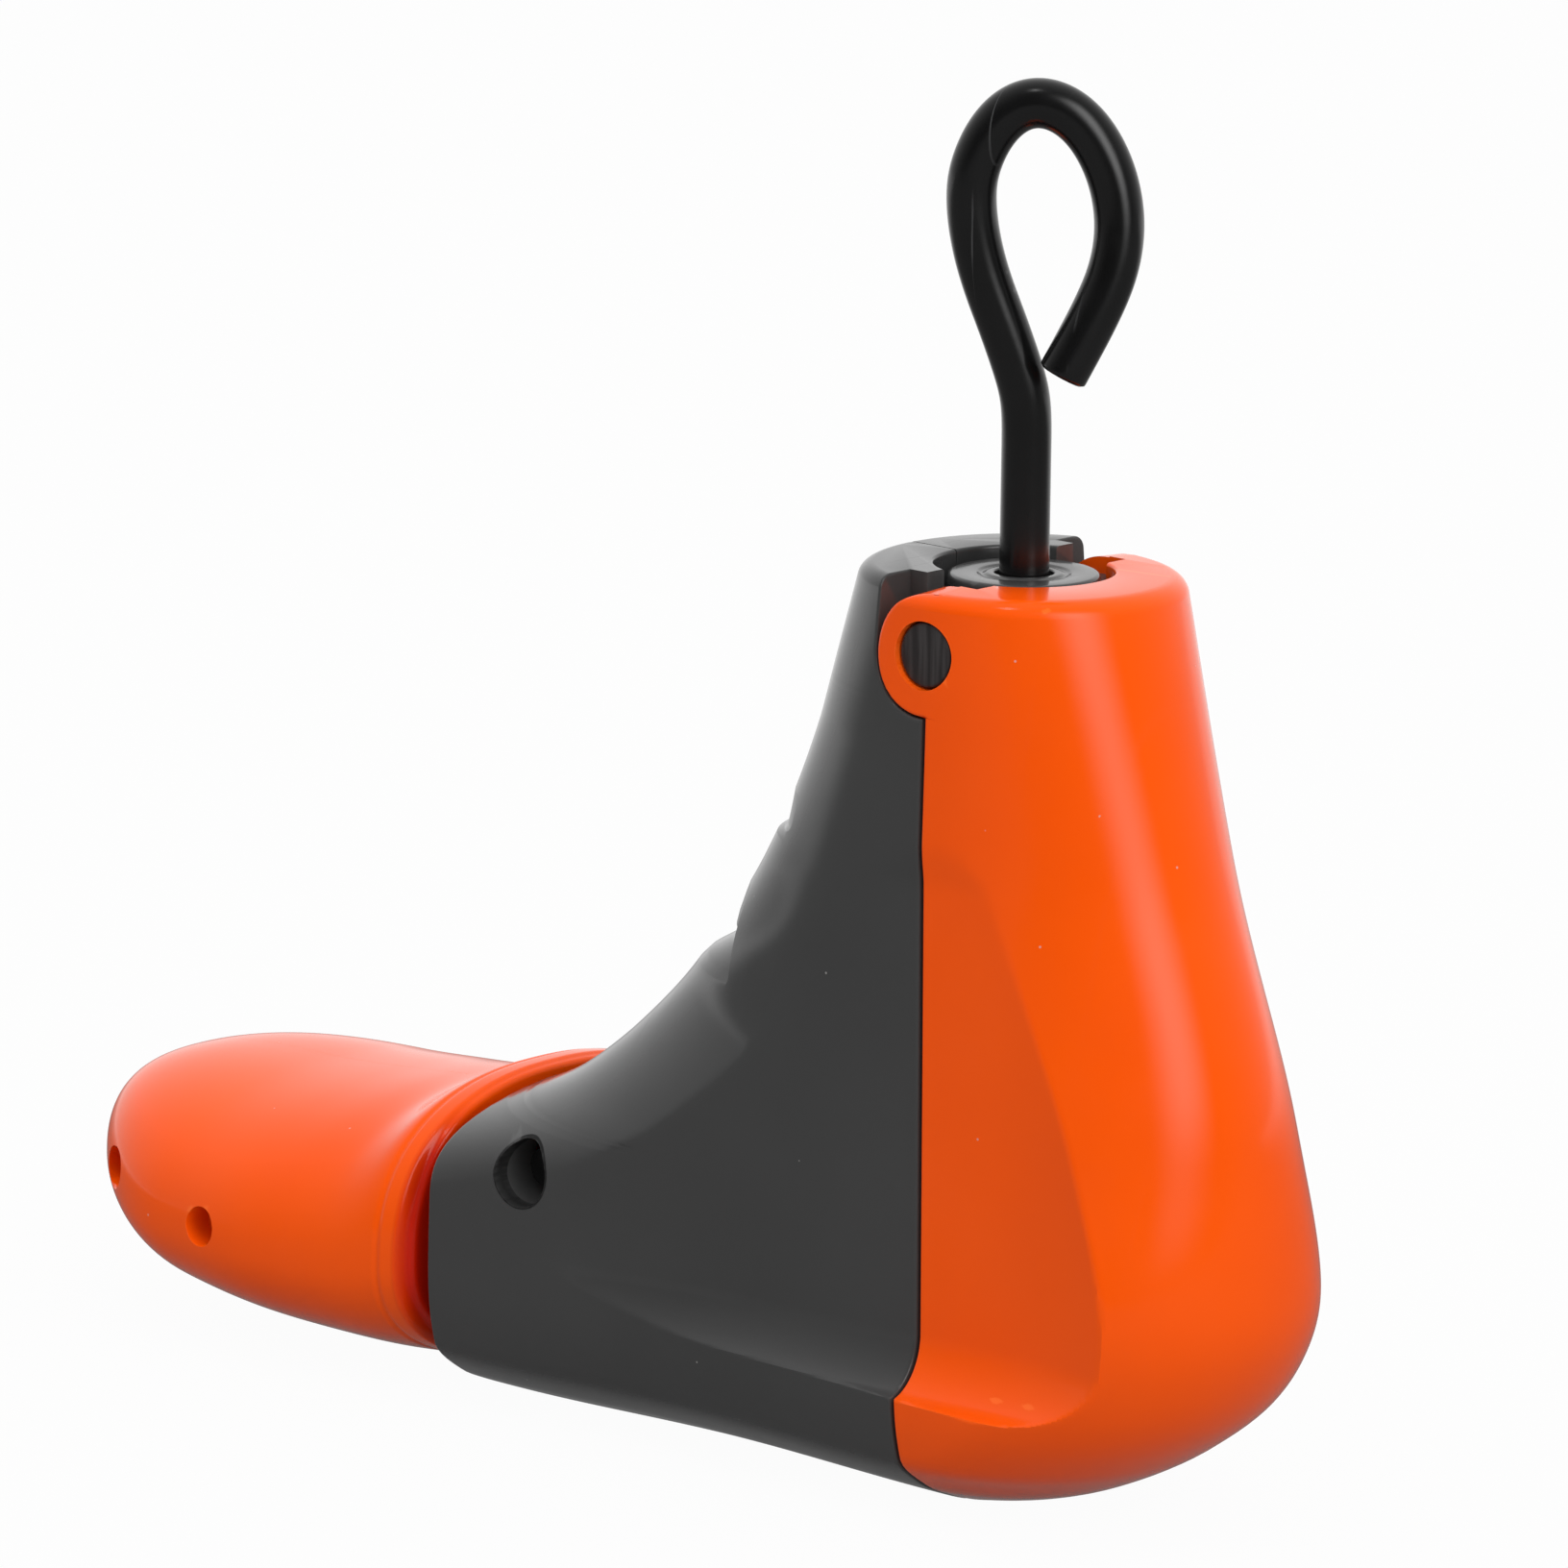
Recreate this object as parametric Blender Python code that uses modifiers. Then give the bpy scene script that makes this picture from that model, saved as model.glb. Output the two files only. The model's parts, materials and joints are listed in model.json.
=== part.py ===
"""A two-way shoe stretcher: a hooked screw spindle swings the heel back and spreads the split toe.

Millimetres are turned into metres by MM.  Inside the script the spindle's axis is x = 0, y = 0, the toe
points along +X and the sole stands on z = 0.  Every piece hangs under the empty stretcher_frame, which
moves the origin to the middle of the whole length.
"""
import math

import bmesh
import bpy
import numpy as np
from mathutils import Matrix, Vector

MM = 0.001

# Clearances
GAP = 0.3              # between pieces that touch or slide on each other
SWING_GAP = 0.35       # between the heel's ears and their pockets
PIN_FIT = 0.3          # all round a pin in its hole

# Body and heel, from the floor up
BODY_HEIGHT = 142.7
HEEL_TOP_DROP = 1.3    # heel's top below the body's top
COLLAR_RADIUS = 24.1
COLLAR_BORE_RADIUS = 13.6
COLLAR_DEPTH = 21.0    # height of the thick ring round the bore
HEEL_REACH = 51.4      # spindle axis to the back of the heel
WALL = 2.6
SOLE_WALL = 3.0
OPENING_X = 91.0       # spindle axis to the body's front edge
MEDIAN_GAP = 0.3       # between left and right halves
SEAM_TOP_X = -1.7      # parting line of body and heel at the pivot's height
SEAM_FOOT_X = -3.0     # and at the floor
SEAM_GAP = 0.6
RING_END_X = 4.7       # where the body's top ring ends
HEEL_RING_X = -5.5     # where the heel's top ring begins
BALL_EXTRA = 4.0       # what the ball is wider than the heel, each side
WAIST_DIP = 2.5        # what the waist is narrower near the sole, each side
WAIST_HEIGHT = 40.0    # height where that dip has faded out
PANEL_LOW = 15.5       # flat side panel: where its lower slope meets the flank
PANEL_FLOOR = 27.5     # and where that slope meets the flat
PANEL_RISE = 6.5       # how far that slope would climb
PANEL_TOP = BODY_HEIGHT - 44.7       # where the flat starts to climb back at its top
PANEL_CLIMB = 0.11     # how steeply, mm per mm

# Swing pivot
PIVOT_DROP = 10.7      # pivot axis below the body's top
PIVOT_X = -1.5         # and behind the spindle
PIVOT_DIAMETER = 9.8
PIVOT_RECESS = 0.9     # pivot pin's end below the ear's face
PIVOT_INNER = 6.5      # pivot pin's inner end from the middle
EAR_RADIUS = 9.2
EAR_INNER = 16.9       # ear's inner face from the middle
LUG_RADIUS = 7.0       # body's lugs round the pivot pins, inside the ears

# Swivel block, in the collar
BLOCK_RADIUS = 11.5
BLOCK_LENGTH = 26.4
BLOCK_DROP = 1.5       # block's top below the body's top
BLOCK_GROOVE_RADIUS = 6.4
COUNTERBORE_RADIUS = 9.0
COUNTERBORE_DEPTH = 10.0
RING_THICKNESS = 1.4
WASHER_THICKNESS = 1.4
THRUST_LENGTH = 4.6

# Spindle
ROD_DIAMETER = 7.5
SPINDLE_FOOT = 14.0    # spindle's lower end above the floor
HOOK_TURN = 222.5      # direction that the eye faces, degrees round +Z from -Y
STOP_NUT_HEIGHT = 6.0
NUT_FLATS = 13.0       # across the flats of both steel nuts
DRIVE_NUT_HEIGHT = 6.5

# Travelling block and its drive pins
TRAVEL = 20.0          # the block's full lift
TRAVEL_Z = 34.0        # drive pins' height at rest
DRIVE_PIN_X = 18.0     # drive pins ahead of and behind the spindle
DRIVE_PIN_DIAMETER = 5.0
DRIVE_PIN_HALF = 14.8
CORE_HALF = 10.0
CORE_HEIGHT = 16.0
LUG_HALF = 6.0
LUG_HEIGHT = 10.0
RIB_THICKNESS = 3.0
RIB_MARGIN = 2.9       # material round a slot
SWING_DEGREES = 8.0    # heel's swing at full lift
WEDGE_TRAVEL = 12.0    # spreader's slide at full lift

# Spreader, cross pin and toe
CROSS_X = 72.0
CROSS_Z = 40.7
CROSS_DIAMETER = 6.0
ACCESS_DIAMETER = 10.2
CROSS_HALF = 28.0
BOSS_WALL = 2.4
TOE_SPREAD = 4.0       # each toe half's slide at full lift
PLOW_TIP_X = 95.0
PLOW_TIP_HALF = 3.0
PLOW_REAR_X = 62.0
PLOW_FLOOR = 32.0
PLOW_TOP = 47.5
PLOW_CREST_X = 78.0    # where the plow's top starts to fall to its tip
BAR_HALF = 7.0         # bar between the cheeks' web and the plow
BAR_HEIGHT = 9.0
WEB_HEIGHT = 10.0
WEB_THICKNESS = 6.0
WEB_SPACE = 7.0        # front drive pin to the web
TOE_X = 96.0           # back of the toe's rim
TOE_REACH = 186.3      # spindle axis to the toe's tip
TOE_NOSE = 38.6        # length over which the plan rounds to the tip
TIP_Z = 27.7
RIM_RADIUS = 3.0
TOE_WALL = 2.6
NECK_HALF = 27.0
NECK_TOP = 43.0
NECK_FLOOR = 8.0
NECK_X = 85.0
TONGUE_X = 65.5
TONGUE_HALF = 20.0
TONGUE_TOP = 48.0
PLUG_DIAMETER = 6.0
PLUG_DEPTH = 5.0
PLUG_PLACES = [(TOE_REACH - 48.7, 20.9), (TOE_REACH - 20.1, 24.1)]
HOLLOW_END = 1.5       # extra wall at the toe's tip

# Screws that hold the body's halves, placed (x, z)
SCREW_PLACES = [(20.0, BODY_HEIGHT - 30.7), (40.0, 72.0), (60.0, 17.0), (24.0, 17.0)]
SCREW_DIAMETER = 3.5
SCREW_HEAD_DIAMETER = 6.6
SCREW_HEAD_HEIGHT = 2.4
SCREW_LENGTH = 20.0

# Side, back and width profiles of the body, each as (share of the body's height, size)
RIDGE = [(0, 176), (0.1402, 150), (0.2803, 118.8), (0.3364, 90.5), (0.3924, 79.1), (0.4625, 67.2),
         (0.5116, 59.3), (0.5746, 51.4), (0.6727, 41.7), (0.7849, 34.3), (0.897, 28.8), (1, COLLAR_RADIUS)]
BACK = [(0, 10.2), (0.0105, 16.9), (0.028, 23.3), (0.0701, 34.4), (0.1402, 45.9), (0.2383, HEEL_REACH),
        (0.4205, 48.6), (0.7008, 36.1), (1, COLLAR_RADIUS)]
HALF_WIDTH = [(0, 12.6), (0.0105, 16.5), (0.028, 22.2), (0.0701, 29.1), (0.1402, 30.7), (0.2383, 30.4),
              (0.4205, 27.9), (0.7008, 25.4), (1, COLLAR_RADIUS)]
# The side panel's distance from the middle, as (x, size)
PANEL = [(-50, 26), (-38, 24.8), (-33, 23.9), (-21, 23.3), (-12, 23.9), (-3, 24.8), (7.4, 25.8), (16, 26.4),
         (26.8, 26.8), (37.2, 27.7), (48.2, 30.4), (59.8, 33.3), (66, 34.4), (80, 40)]
TAIL = [(0, 29.5), (0.2102, 27.1), (0.5606, 38.8), (0.7708, 32), (1, COLLAR_RADIUS)]
NOSE = [(0.2803, 46), (0.3644, 57.1), (0.4625, 61.4), (0.5746, 36.2), (0.7849, 28.5), (1, COLLAR_RADIUS)]
# Toe profiles, each as (share of the toe's length, size)
TOE_TOP = [(0, 51), (0.1107, 48.3), (0.1993, 45.3), (0.3765, 41), (0.598, 39.8), (1, 42)]
TOE_FLOOR = [(0, 2.2), (0.1107, 1.6), (0.1993, 1.7), (0.3765, 2.4), (0.598, 4.6), (0.8749, 10.2), (1, 13)]
TOE_HALF = [(0, 36), (0.1107, 37.9), (0.1993, 38.6), (0.3765, 39.9), (0.598, 38), (1, 32)]
TOE_FULLNESS = 2.27
# The eye's centre line in its own plane: (sideways, height over the body's top, towards the viewer)
EYE = [(0, 0, 0), (0, 21.1, 0), (-0.4, 25.6, 0), (-1.9, 30.6, 0), (-3.9, 36.1, 0), (-6.2, 42.1, 0),
       (-7.9, 47.9, 0), (-8.8, 53.9, 0), (-8.5, 59.1, 0.1), (-6.2, 64.7, 0.3), (-2.7, 68.7, 0.6),
       (1.4, 70.1, 1), (5.6, 68.7, 1.5), (9, 65.1, 2), (11.6, 59.7, 2.6), (13, 53.9, 3.1), (13, 48.6, 3.6),
       (11.9, 43.7, 4.1), (9.8, 38.7, 4.6), (7.4, 33.9, 4.9), (4.9, 29.1, 5.1)]

FRAME_X = (HEEL_REACH - TOE_REACH) / 2
PIVOT_Z = BODY_HEIGHT - PIVOT_DROP
ROD_RADIUS = ROD_DIAMETER / 2
RIB_INNER = CORE_HALF + 0.6
SLOT_RADIUS = DRIVE_PIN_DIAMETER / 2 + PIN_FIT
FAR = 90.0             # beyond every piece, for cutters
FLANK_POINTS = 12      # points of a plan outline along one flank

parts = None
cutters = None
frame = None


def through(pairs):
    """A smooth curve that never overshoots: cubic pieces with harmonic-mean slopes at the points."""
    at, size = np.array(pairs, float).T
    step = np.diff(at)
    rise = np.diff(size) / step
    slope = np.concatenate([[rise[0]], np.zeros(len(step) - 1), [rise[-1]]])
    for i in range(1, len(step)):
        if rise[i - 1] * rise[i] > 0:
            before = 2 * step[i] + step[i - 1]
            after = step[i] + 2 * step[i - 1]
            slope[i] = (before + after) / (before / rise[i - 1] + after / rise[i])

    def curve(where):
        where = min(max(where, at[0]), at[-1])
        i = min(int(np.searchsorted(at, where, side="right")) - 1, len(step) - 1)
        t = (where - at[i]) / step[i]
        ends = (1 + 2 * t) * (1 - t) ** 2 * size[i] + t * t * (3 - 2 * t) * size[i + 1]
        tangents = t * (1 - t) ** 2 * slope[i] - t * t * (1 - t) * slope[i + 1]
        return float(ends + tangents * step[i])

    return curve


ridge, back, half_width = through(RIDGE), through(BACK), through(HALF_WIDTH)
tail, nose, panel = through(TAIL), through(NOSE), through(PANEL)
toe_top, toe_floor, toe_half = through(TOE_TOP), through(TOE_FLOOR), through(TOE_HALF)


def seam_x(z):
    """The parting line of body and heel: straight from floor to pivot."""
    return SEAM_FOOT_X + (SEAM_TOP_X - SEAM_FOOT_X) * z / PIVOT_Z


def plan_loop(z, inset=0.0, count=10):
    """Plan outline at height z: a rounded back, a flank that widens to the ball, a rounded nose."""
    share = z / BODY_HEIGHT
    front, rear, half = ridge(share), back(share), half_width(share)
    nose_length, tail_length = min(nose(share), front), min(tail(share), rear)
    turn = np.linspace(0, math.pi / 2, count)
    x = np.concatenate([-(rear - tail_length) - (tail_length - inset) * np.cos(turn),
                        np.linspace(-(rear - tail_length), front - nose_length, FLANK_POINTS + 2)[1:-1],
                        (front - nose_length) + (nose_length - inset) * np.sin(turn)])
    close = np.concatenate([np.sin(turn), np.ones(FLANK_POINTS), np.cos(turn)])
    ball = np.clip((x + 10) / 100, 0, 1)
    waist = np.sin(math.pi * np.clip(x / OPENING_X, 0, 1)) ** 2 * max(0.0, 1 - z / WAIST_HEIGHT)
    y = (half + BALL_EXTRA * ball * ball * (3 - 2 * ball) - WAIST_DIP * waist - inset) * close
    slope = min(max((PANEL_FLOOR - z) / (PANEL_FLOOR - PANEL_LOW), 0), 1)
    climb = PANEL_RISE * slope * slope * (3 - 2 * slope) + PANEL_CLIMB * max(0.0, z - PANEL_TOP)
    y = np.minimum(y, np.array([panel(v) for v in x]) + climb - inset)
    left = [(x[i], y[i], z) for i in range(len(x))]
    right = [(x[i], -y[i], z) for i in range(len(x) - 2, 0, -1)]
    return left + right


def ring_loop(z, radius):
    """A circle round the spindle, with as many points as a plan outline, that starts at the back."""
    count = len(plan_loop(z))
    turn = math.pi - np.arange(count) * 2 * math.pi / count
    return [(radius * math.cos(t), radius * math.sin(t), z) for t in turn]


def toe_loop(x, inset=0.0, count=40):
    """Cross-section of the toe at x: a full oval whose top and floor follow their own profiles."""
    nose_start = TOE_REACH - TOE_NOSE
    reach = min(max((x - nose_start) / (TOE_NOSE - inset), 0), 0.9995)
    close = math.sqrt(1 - reach * reach)
    rim = max(0.0, RIM_RADIUS - (x - TOE_X)) / RIM_RADIUS
    inset = inset + RIM_RADIUS * (1 - math.sqrt(max(0.0, 1 - rim * rim)))
    share = (x - TOE_X) / (TOE_REACH - TOE_X)
    top = TIP_Z + (toe_top(share) - inset - TIP_Z) * close ** 0.9
    floor = TIP_Z + (toe_floor(share) + inset - TIP_Z) * close ** 0.9
    half = (toe_half(share) - inset) * close
    middle = floor + 0.42 * (top - floor)
    power = 2 / TOE_FULLNESS
    loop = []
    for t in np.arange(count) * 2 * math.pi / count:
        c, s = math.cos(t), math.sin(t)
        height = (top - middle if s > 0 else middle - floor) * abs(s) ** power
        loop.append((x, math.copysign(half * abs(c) ** power, c), middle + math.copysign(height, s)))
    return loop


def place(obj, group):
    """Puts an object into its collection under the frame."""
    for other in list(obj.users_collection):
        other.objects.unlink(obj)
    group.objects.link(obj)
    obj.parent = frame
    if group is cutters:
        obj.hide_render = True
        obj.display_type = "WIRE"
    return obj


def from_bmesh(name, bm, group, at=(0, 0, 0)):
    """Makes an object of a bmesh given in millimetres, with its origin at the point at."""
    bmesh.ops.translate(bm, verts=bm.verts, vec=-Vector(at))
    bmesh.ops.scale(bm, verts=bm.verts, vec=(MM, MM, MM))
    bmesh.ops.recalc_face_normals(bm, faces=bm.faces)
    mesh = bpy.data.meshes.new(name)
    bm.to_mesh(mesh)
    bm.free()
    obj = place(bpy.data.objects.new(name, mesh), group)
    obj.location = Vector(at) * MM
    return obj


def loft(name, loops, group, at=(0, 0, 0)):
    """A closed skin over loops that all have the same number of points."""
    bm = bmesh.new()
    rows = [[bm.verts.new(p) for p in loop] for loop in loops]
    count = len(loops[0])
    for low, high in zip(rows, rows[1:]):
        for i in range(count):
            bm.faces.new((low[i], low[(i + 1) % count], high[(i + 1) % count], high[i]))
    bm.faces.new(rows[0][::-1])
    bm.faces.new(rows[-1])
    return from_bmesh(name, bm, group, at)


def prism(name, outline, near, far, group, axis="Y", at=(0, 0, 0)):
    """An outline pushed along an axis: (x, z) points along Y, or (x, y) points along Z."""
    bm = bmesh.new()
    if axis == "Y":
        loops = [[(x, depth, z) for x, z in outline] for depth in (near, far)]
    else:
        loops = [[(x, y, depth) for x, y in outline] for depth in (near, far)]
    rows = [[bm.verts.new(p) for p in loop] for loop in loops]
    count = len(outline)
    for i in range(count):
        bm.faces.new((rows[0][i], rows[0][(i + 1) % count], rows[1][(i + 1) % count], rows[1][i]))
    bm.faces.new(rows[0][::-1])
    bm.faces.new(rows[1])
    return from_bmesh(name, bm, group, at)


def box(name, low, high, group, at=(0, 0, 0)):
    """A cube primitive stretched between two corners."""
    bm = bmesh.new()
    bmesh.ops.create_cube(bm, size=1)
    low, high = Vector(low), Vector(high)
    bmesh.ops.scale(bm, verts=bm.verts, vec=high - low)
    bmesh.ops.translate(bm, verts=bm.verts, vec=(low + high) / 2)
    return from_bmesh(name, bm, group, at)


def rod(name, start, end, radius, group, sides=24, at=(0, 0, 0)):
    """A cylinder primitive from one point to another."""
    bm = bmesh.new()
    start, end = Vector(start), Vector(end)
    bmesh.ops.create_cone(bm, cap_ends=True, segments=sides, radius1=radius, radius2=radius,
                          depth=(end - start).length)
    turn = (end - start).to_track_quat("Z", "Y").to_matrix().to_4x4()
    bmesh.ops.transform(bm, matrix=Matrix.Translation((start + end) / 2) @ turn, verts=bm.verts)
    return from_bmesh(name, bm, group, at)


def turned(name, profile, group, steps=48, at=(0, 0, 0)):
    """A profile of (radius, height) turned round the spindle with a Screw modifier."""
    mesh = bpy.data.meshes.new(name)
    points = [(r * MM, 0, (z - at[2]) * MM) for r, z in profile]
    edges = [(i, (i + 1) % len(points)) for i in range(len(points))]
    mesh.from_pydata(points, edges, [])
    obj = place(bpy.data.objects.new(name, mesh), group)
    obj.location = Vector(at) * MM
    screw = obj.modifiers.new("turn", "SCREW")
    screw.steps = screw.render_steps = steps
    screw.use_merge_vertices = True
    screw.merge_threshold = 1e-5
    return obj


def combine(obj, other, operation):
    """Adds a Boolean modifier."""
    step = obj.modifiers.new(operation.lower() + "_" + other.name, "BOOLEAN")
    step.operation = operation
    step.solver = "EXACT"
    step.object = other
    return obj


def material(name, colour, roughness, metallic=0.0):
    """A Principled material with a colour, roughness and metallic value."""
    mat = bpy.data.materials.get(name) or bpy.data.materials.new(name)
    mat.use_nodes = True
    shader = mat.node_tree.nodes["Principled BSDF"]
    shader.inputs["Base Color"].default_value = (*colour, 1)
    shader.inputs["Roughness"].default_value = roughness
    shader.inputs["Metallic"].default_value = metallic
    return mat


def finish(obj, mat):
    """Gives a part its material and smooth shading."""
    obj.data.materials.append(mat)
    if obj.type == "MESH":
        obj.data.shade_smooth()
        obj.data.set_sharp_from_angle(angle=math.radians(35))
    return obj


def body_levels():
    """Heights of the body's sections, closer together where the sole rounds."""
    shares = [0, 0.0049, 0.0105, 0.0189, 0.028, 0.042, 0.0561, 0.0701, 0.0911, 0.1121, 0.1261, 0.1402,
              0.1577, 0.1752, 0.1962, 0.2242, 0.2593, 0.2943, 0.3364, 0.3784, 0.4205, 0.4625, 0.4905,
              0.5186, 0.5466, 0.5816, 0.6167, 0.6587, 0.7008, 0.7498, 0.7989, 0.8479, 0.897, 0.946, 0.9881,
              1]
    return [share * BODY_HEIGHT for share in shares]


def body_form(name, group, inset=0.0):
    """The whole outer form of body and heel together, pulled in by an inset."""
    return loft(name, [plan_loop(z, inset) for z in body_levels()], group)


def cavity_form(name):
    """The hollow inside body and heel: the plan outlines pulled in by the wall, then the collar's bore."""
    ring_floor = BODY_HEIGHT - COLLAR_DEPTH
    levels = [z for z in body_levels() if SOLE_WALL < z < ring_floor - 6]
    levels[0] = SOLE_WALL
    loops = [plan_loop(z, WALL) for z in levels]
    loops += [ring_loop(z, COLLAR_BORE_RADIUS) for z in (ring_floor, BODY_HEIGHT + 5)]
    return loft(name, loops, cutters)


def slot_outline(path, radius):
    """Outline of a slot of one width along a path, with round ends."""
    path = [Vector(p) for p in path]
    left, right = [], []
    for i, p in enumerate(path):
        along = (path[min(i + 1, len(path) - 1)] - path[max(i - 1, 0)]).normalized()
        across = Vector((-along.y, along.x)) * radius
        left.append(p + across)
        right.append(p - across)

    def cap(centre, start):
        return [centre + Matrix.Rotation(-math.pi * k / 6, 2) @ (start - centre) for k in range(1, 6)]

    ends = left + cap(path[-1], left[-1]) + right[::-1] + cap(path[0], right[0])
    return [tuple(p) for p in ends]


def heel_slot_path(count=9):
    """Where the rear drive pin runs, seen from the heel, so that swing and lift keep one ratio."""
    path = []
    for lift in np.linspace(0, TRAVEL, count):
        swing = math.radians(SWING_DEGREES) * lift / TRAVEL
        x, z = -DRIVE_PIN_X - PIVOT_X, TRAVEL_Z + lift - PIVOT_Z
        path.append((PIVOT_X + x * math.cos(swing) - z * math.sin(swing),
                     PIVOT_Z + x * math.sin(swing) + z * math.cos(swing)))
    return path


def wedge_slot_path():
    """Where the front drive pin runs, seen from the spreader: a straight ramp."""
    return [(DRIVE_PIN_X, TRAVEL_Z), (DRIVE_PIN_X - WEDGE_TRAVEL, TRAVEL_Z + TRAVEL)]


def plow_half(x):
    """Half width of the spreader's plow at x."""
    return PLOW_TIP_HALF + (PLOW_TIP_X - x) * TOE_SPREAD / WEDGE_TRAVEL


def make_cutters():
    """Shapes shared by the shells."""
    shared = {}
    shared["cavity"] = cavity_form("cut_cavity")
    shared["inner_form"] = body_form("cut_inner_form", cutters, WALL / 2)
    bore = PIVOT_DIAMETER / 2 + PIN_FIT
    shared["pivot_bore"] = rod("cut_pivot_bore", (PIVOT_X, -FAR, PIVOT_Z), (PIVOT_X, FAR, PIVOT_Z), bore,
                               cutters, 28)
    return shared


def body_shell(side, shared, mat):
    """One half of the grey body, on the side +1 (left) or -1 (right)."""
    name = "body_shell_left" if side > 0 else "body_shell_right"
    shell = body_form(name, parts)
    top = BODY_HEIGHT + 5
    outline = [(seam_x(-5), -5), (OPENING_X, -5), (OPENING_X, top), (RING_END_X, top), (RING_END_X, PIVOT_Z),
               (seam_x(PIVOT_Z), PIVOT_Z)]
    near, far = sorted((side * MEDIAN_GAP / 2, side * FAR))
    region = prism(name + "_region", outline, near, far, cutters)
    lug = rod(name + "_lug", (PIVOT_X, side * BLOCK_RADIUS, PIVOT_Z), (PIVOT_X, side * FAR, PIVOT_Z), LUG_RADIUS,
              cutters, 32)
    combine(shell, combine(region, lug, "UNION"), "INTERSECT")
    combine(shell, shared["cavity"], "DIFFERENCE")
    pocket_near, pocket_far = sorted((side * (EAR_INNER - SWING_GAP), side * FAR))
    pocket_radius = EAR_RADIUS + SWING_GAP
    pocket = rod(name + "_pocket", (PIVOT_X, pocket_near, PIVOT_Z), (PIVOT_X, pocket_far, PIVOT_Z), pocket_radius,
                 cutters, 40)
    combine(shell, pocket, "DIFFERENCE")
    above = box(name + "_pocket_top", (-FAR, pocket_near, PIVOT_Z), (PIVOT_X + pocket_radius, pocket_far, top),
                cutters)
    combine(shell, above, "DIFFERENCE")
    combine(shell, shared["pivot_bore"], "DIFFERENCE")
    add_cross_boss(shell, name, side, shared)
    add_screw_bosses(shell, name, side, shared)
    return finish(shell, mat)


def add_cross_boss(shell, name, side, shared):
    """The boss that seats the cross pin, and the access hole through the wall."""
    seat = CROSS_DIAMETER / 2 + PIN_FIT
    inner = side * (TONGUE_HALF + TOE_SPREAD + 0.8)
    boss = rod(name + "_boss", (CROSS_X, inner, CROSS_Z), (CROSS_X, side * FAR, CROSS_Z),
               ACCESS_DIAMETER / 2 + BOSS_WALL, cutters, 28)
    combine(boss, shared["inner_form"], "INTERSECT")
    combine(shell, boss, "UNION")
    hole = rod(name + "_pin_seat", (CROSS_X, inner - side, CROSS_Z), (CROSS_X, side * FAR, CROSS_Z), seat, cutters)
    combine(shell, hole, "DIFFERENCE")
    start = side * (CROSS_HALF + GAP)
    access = rod(name + "_access", (CROSS_X, start, CROSS_Z), (CROSS_X, side * FAR, CROSS_Z),
                 ACCESS_DIAMETER / 2, cutters, 32)
    combine(shell, access, "DIFFERENCE")


def add_screw_bosses(shell, name, side, shared):
    """Bosses for the screws that pull the halves together: heads on the right, threads in the left."""
    for index, (x, z) in enumerate(SCREW_PLACES):
        tag = f"{name}_screw{index}"
        radius = SCREW_HEAD_DIAMETER / 2 + BOSS_WALL
        boss = rod(tag + "_boss", (x, side * MEDIAN_GAP / 2, z), (x, side * FAR, z), radius, cutters, 20)
        combine(boss, shared["inner_form"], "INTERSECT")
        combine(shell, boss, "UNION")
        if side > 0:
            end = SCREW_LENGTH / 2 + 1
            hole = rod(tag + "_hole", (x, -1, z), (x, end, z), SCREW_DIAMETER / 2 + PIN_FIT, cutters, 16)
            combine(shell, hole, "DIFFERENCE")
        else:
            seat = -SCREW_LENGTH / 2
            hole = rod(tag + "_hole", (x, 1, z), (x, -FAR, z), SCREW_DIAMETER / 2 + PIN_FIT, cutters, 16)
            sink = rod(tag + "_sink", (x, seat, z), (x, -FAR, z), SCREW_HEAD_DIAMETER / 2 + PIN_FIT, cutters, 20)
            combine(shell, hole, "DIFFERENCE")
            combine(shell, sink, "DIFFERENCE")


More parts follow.
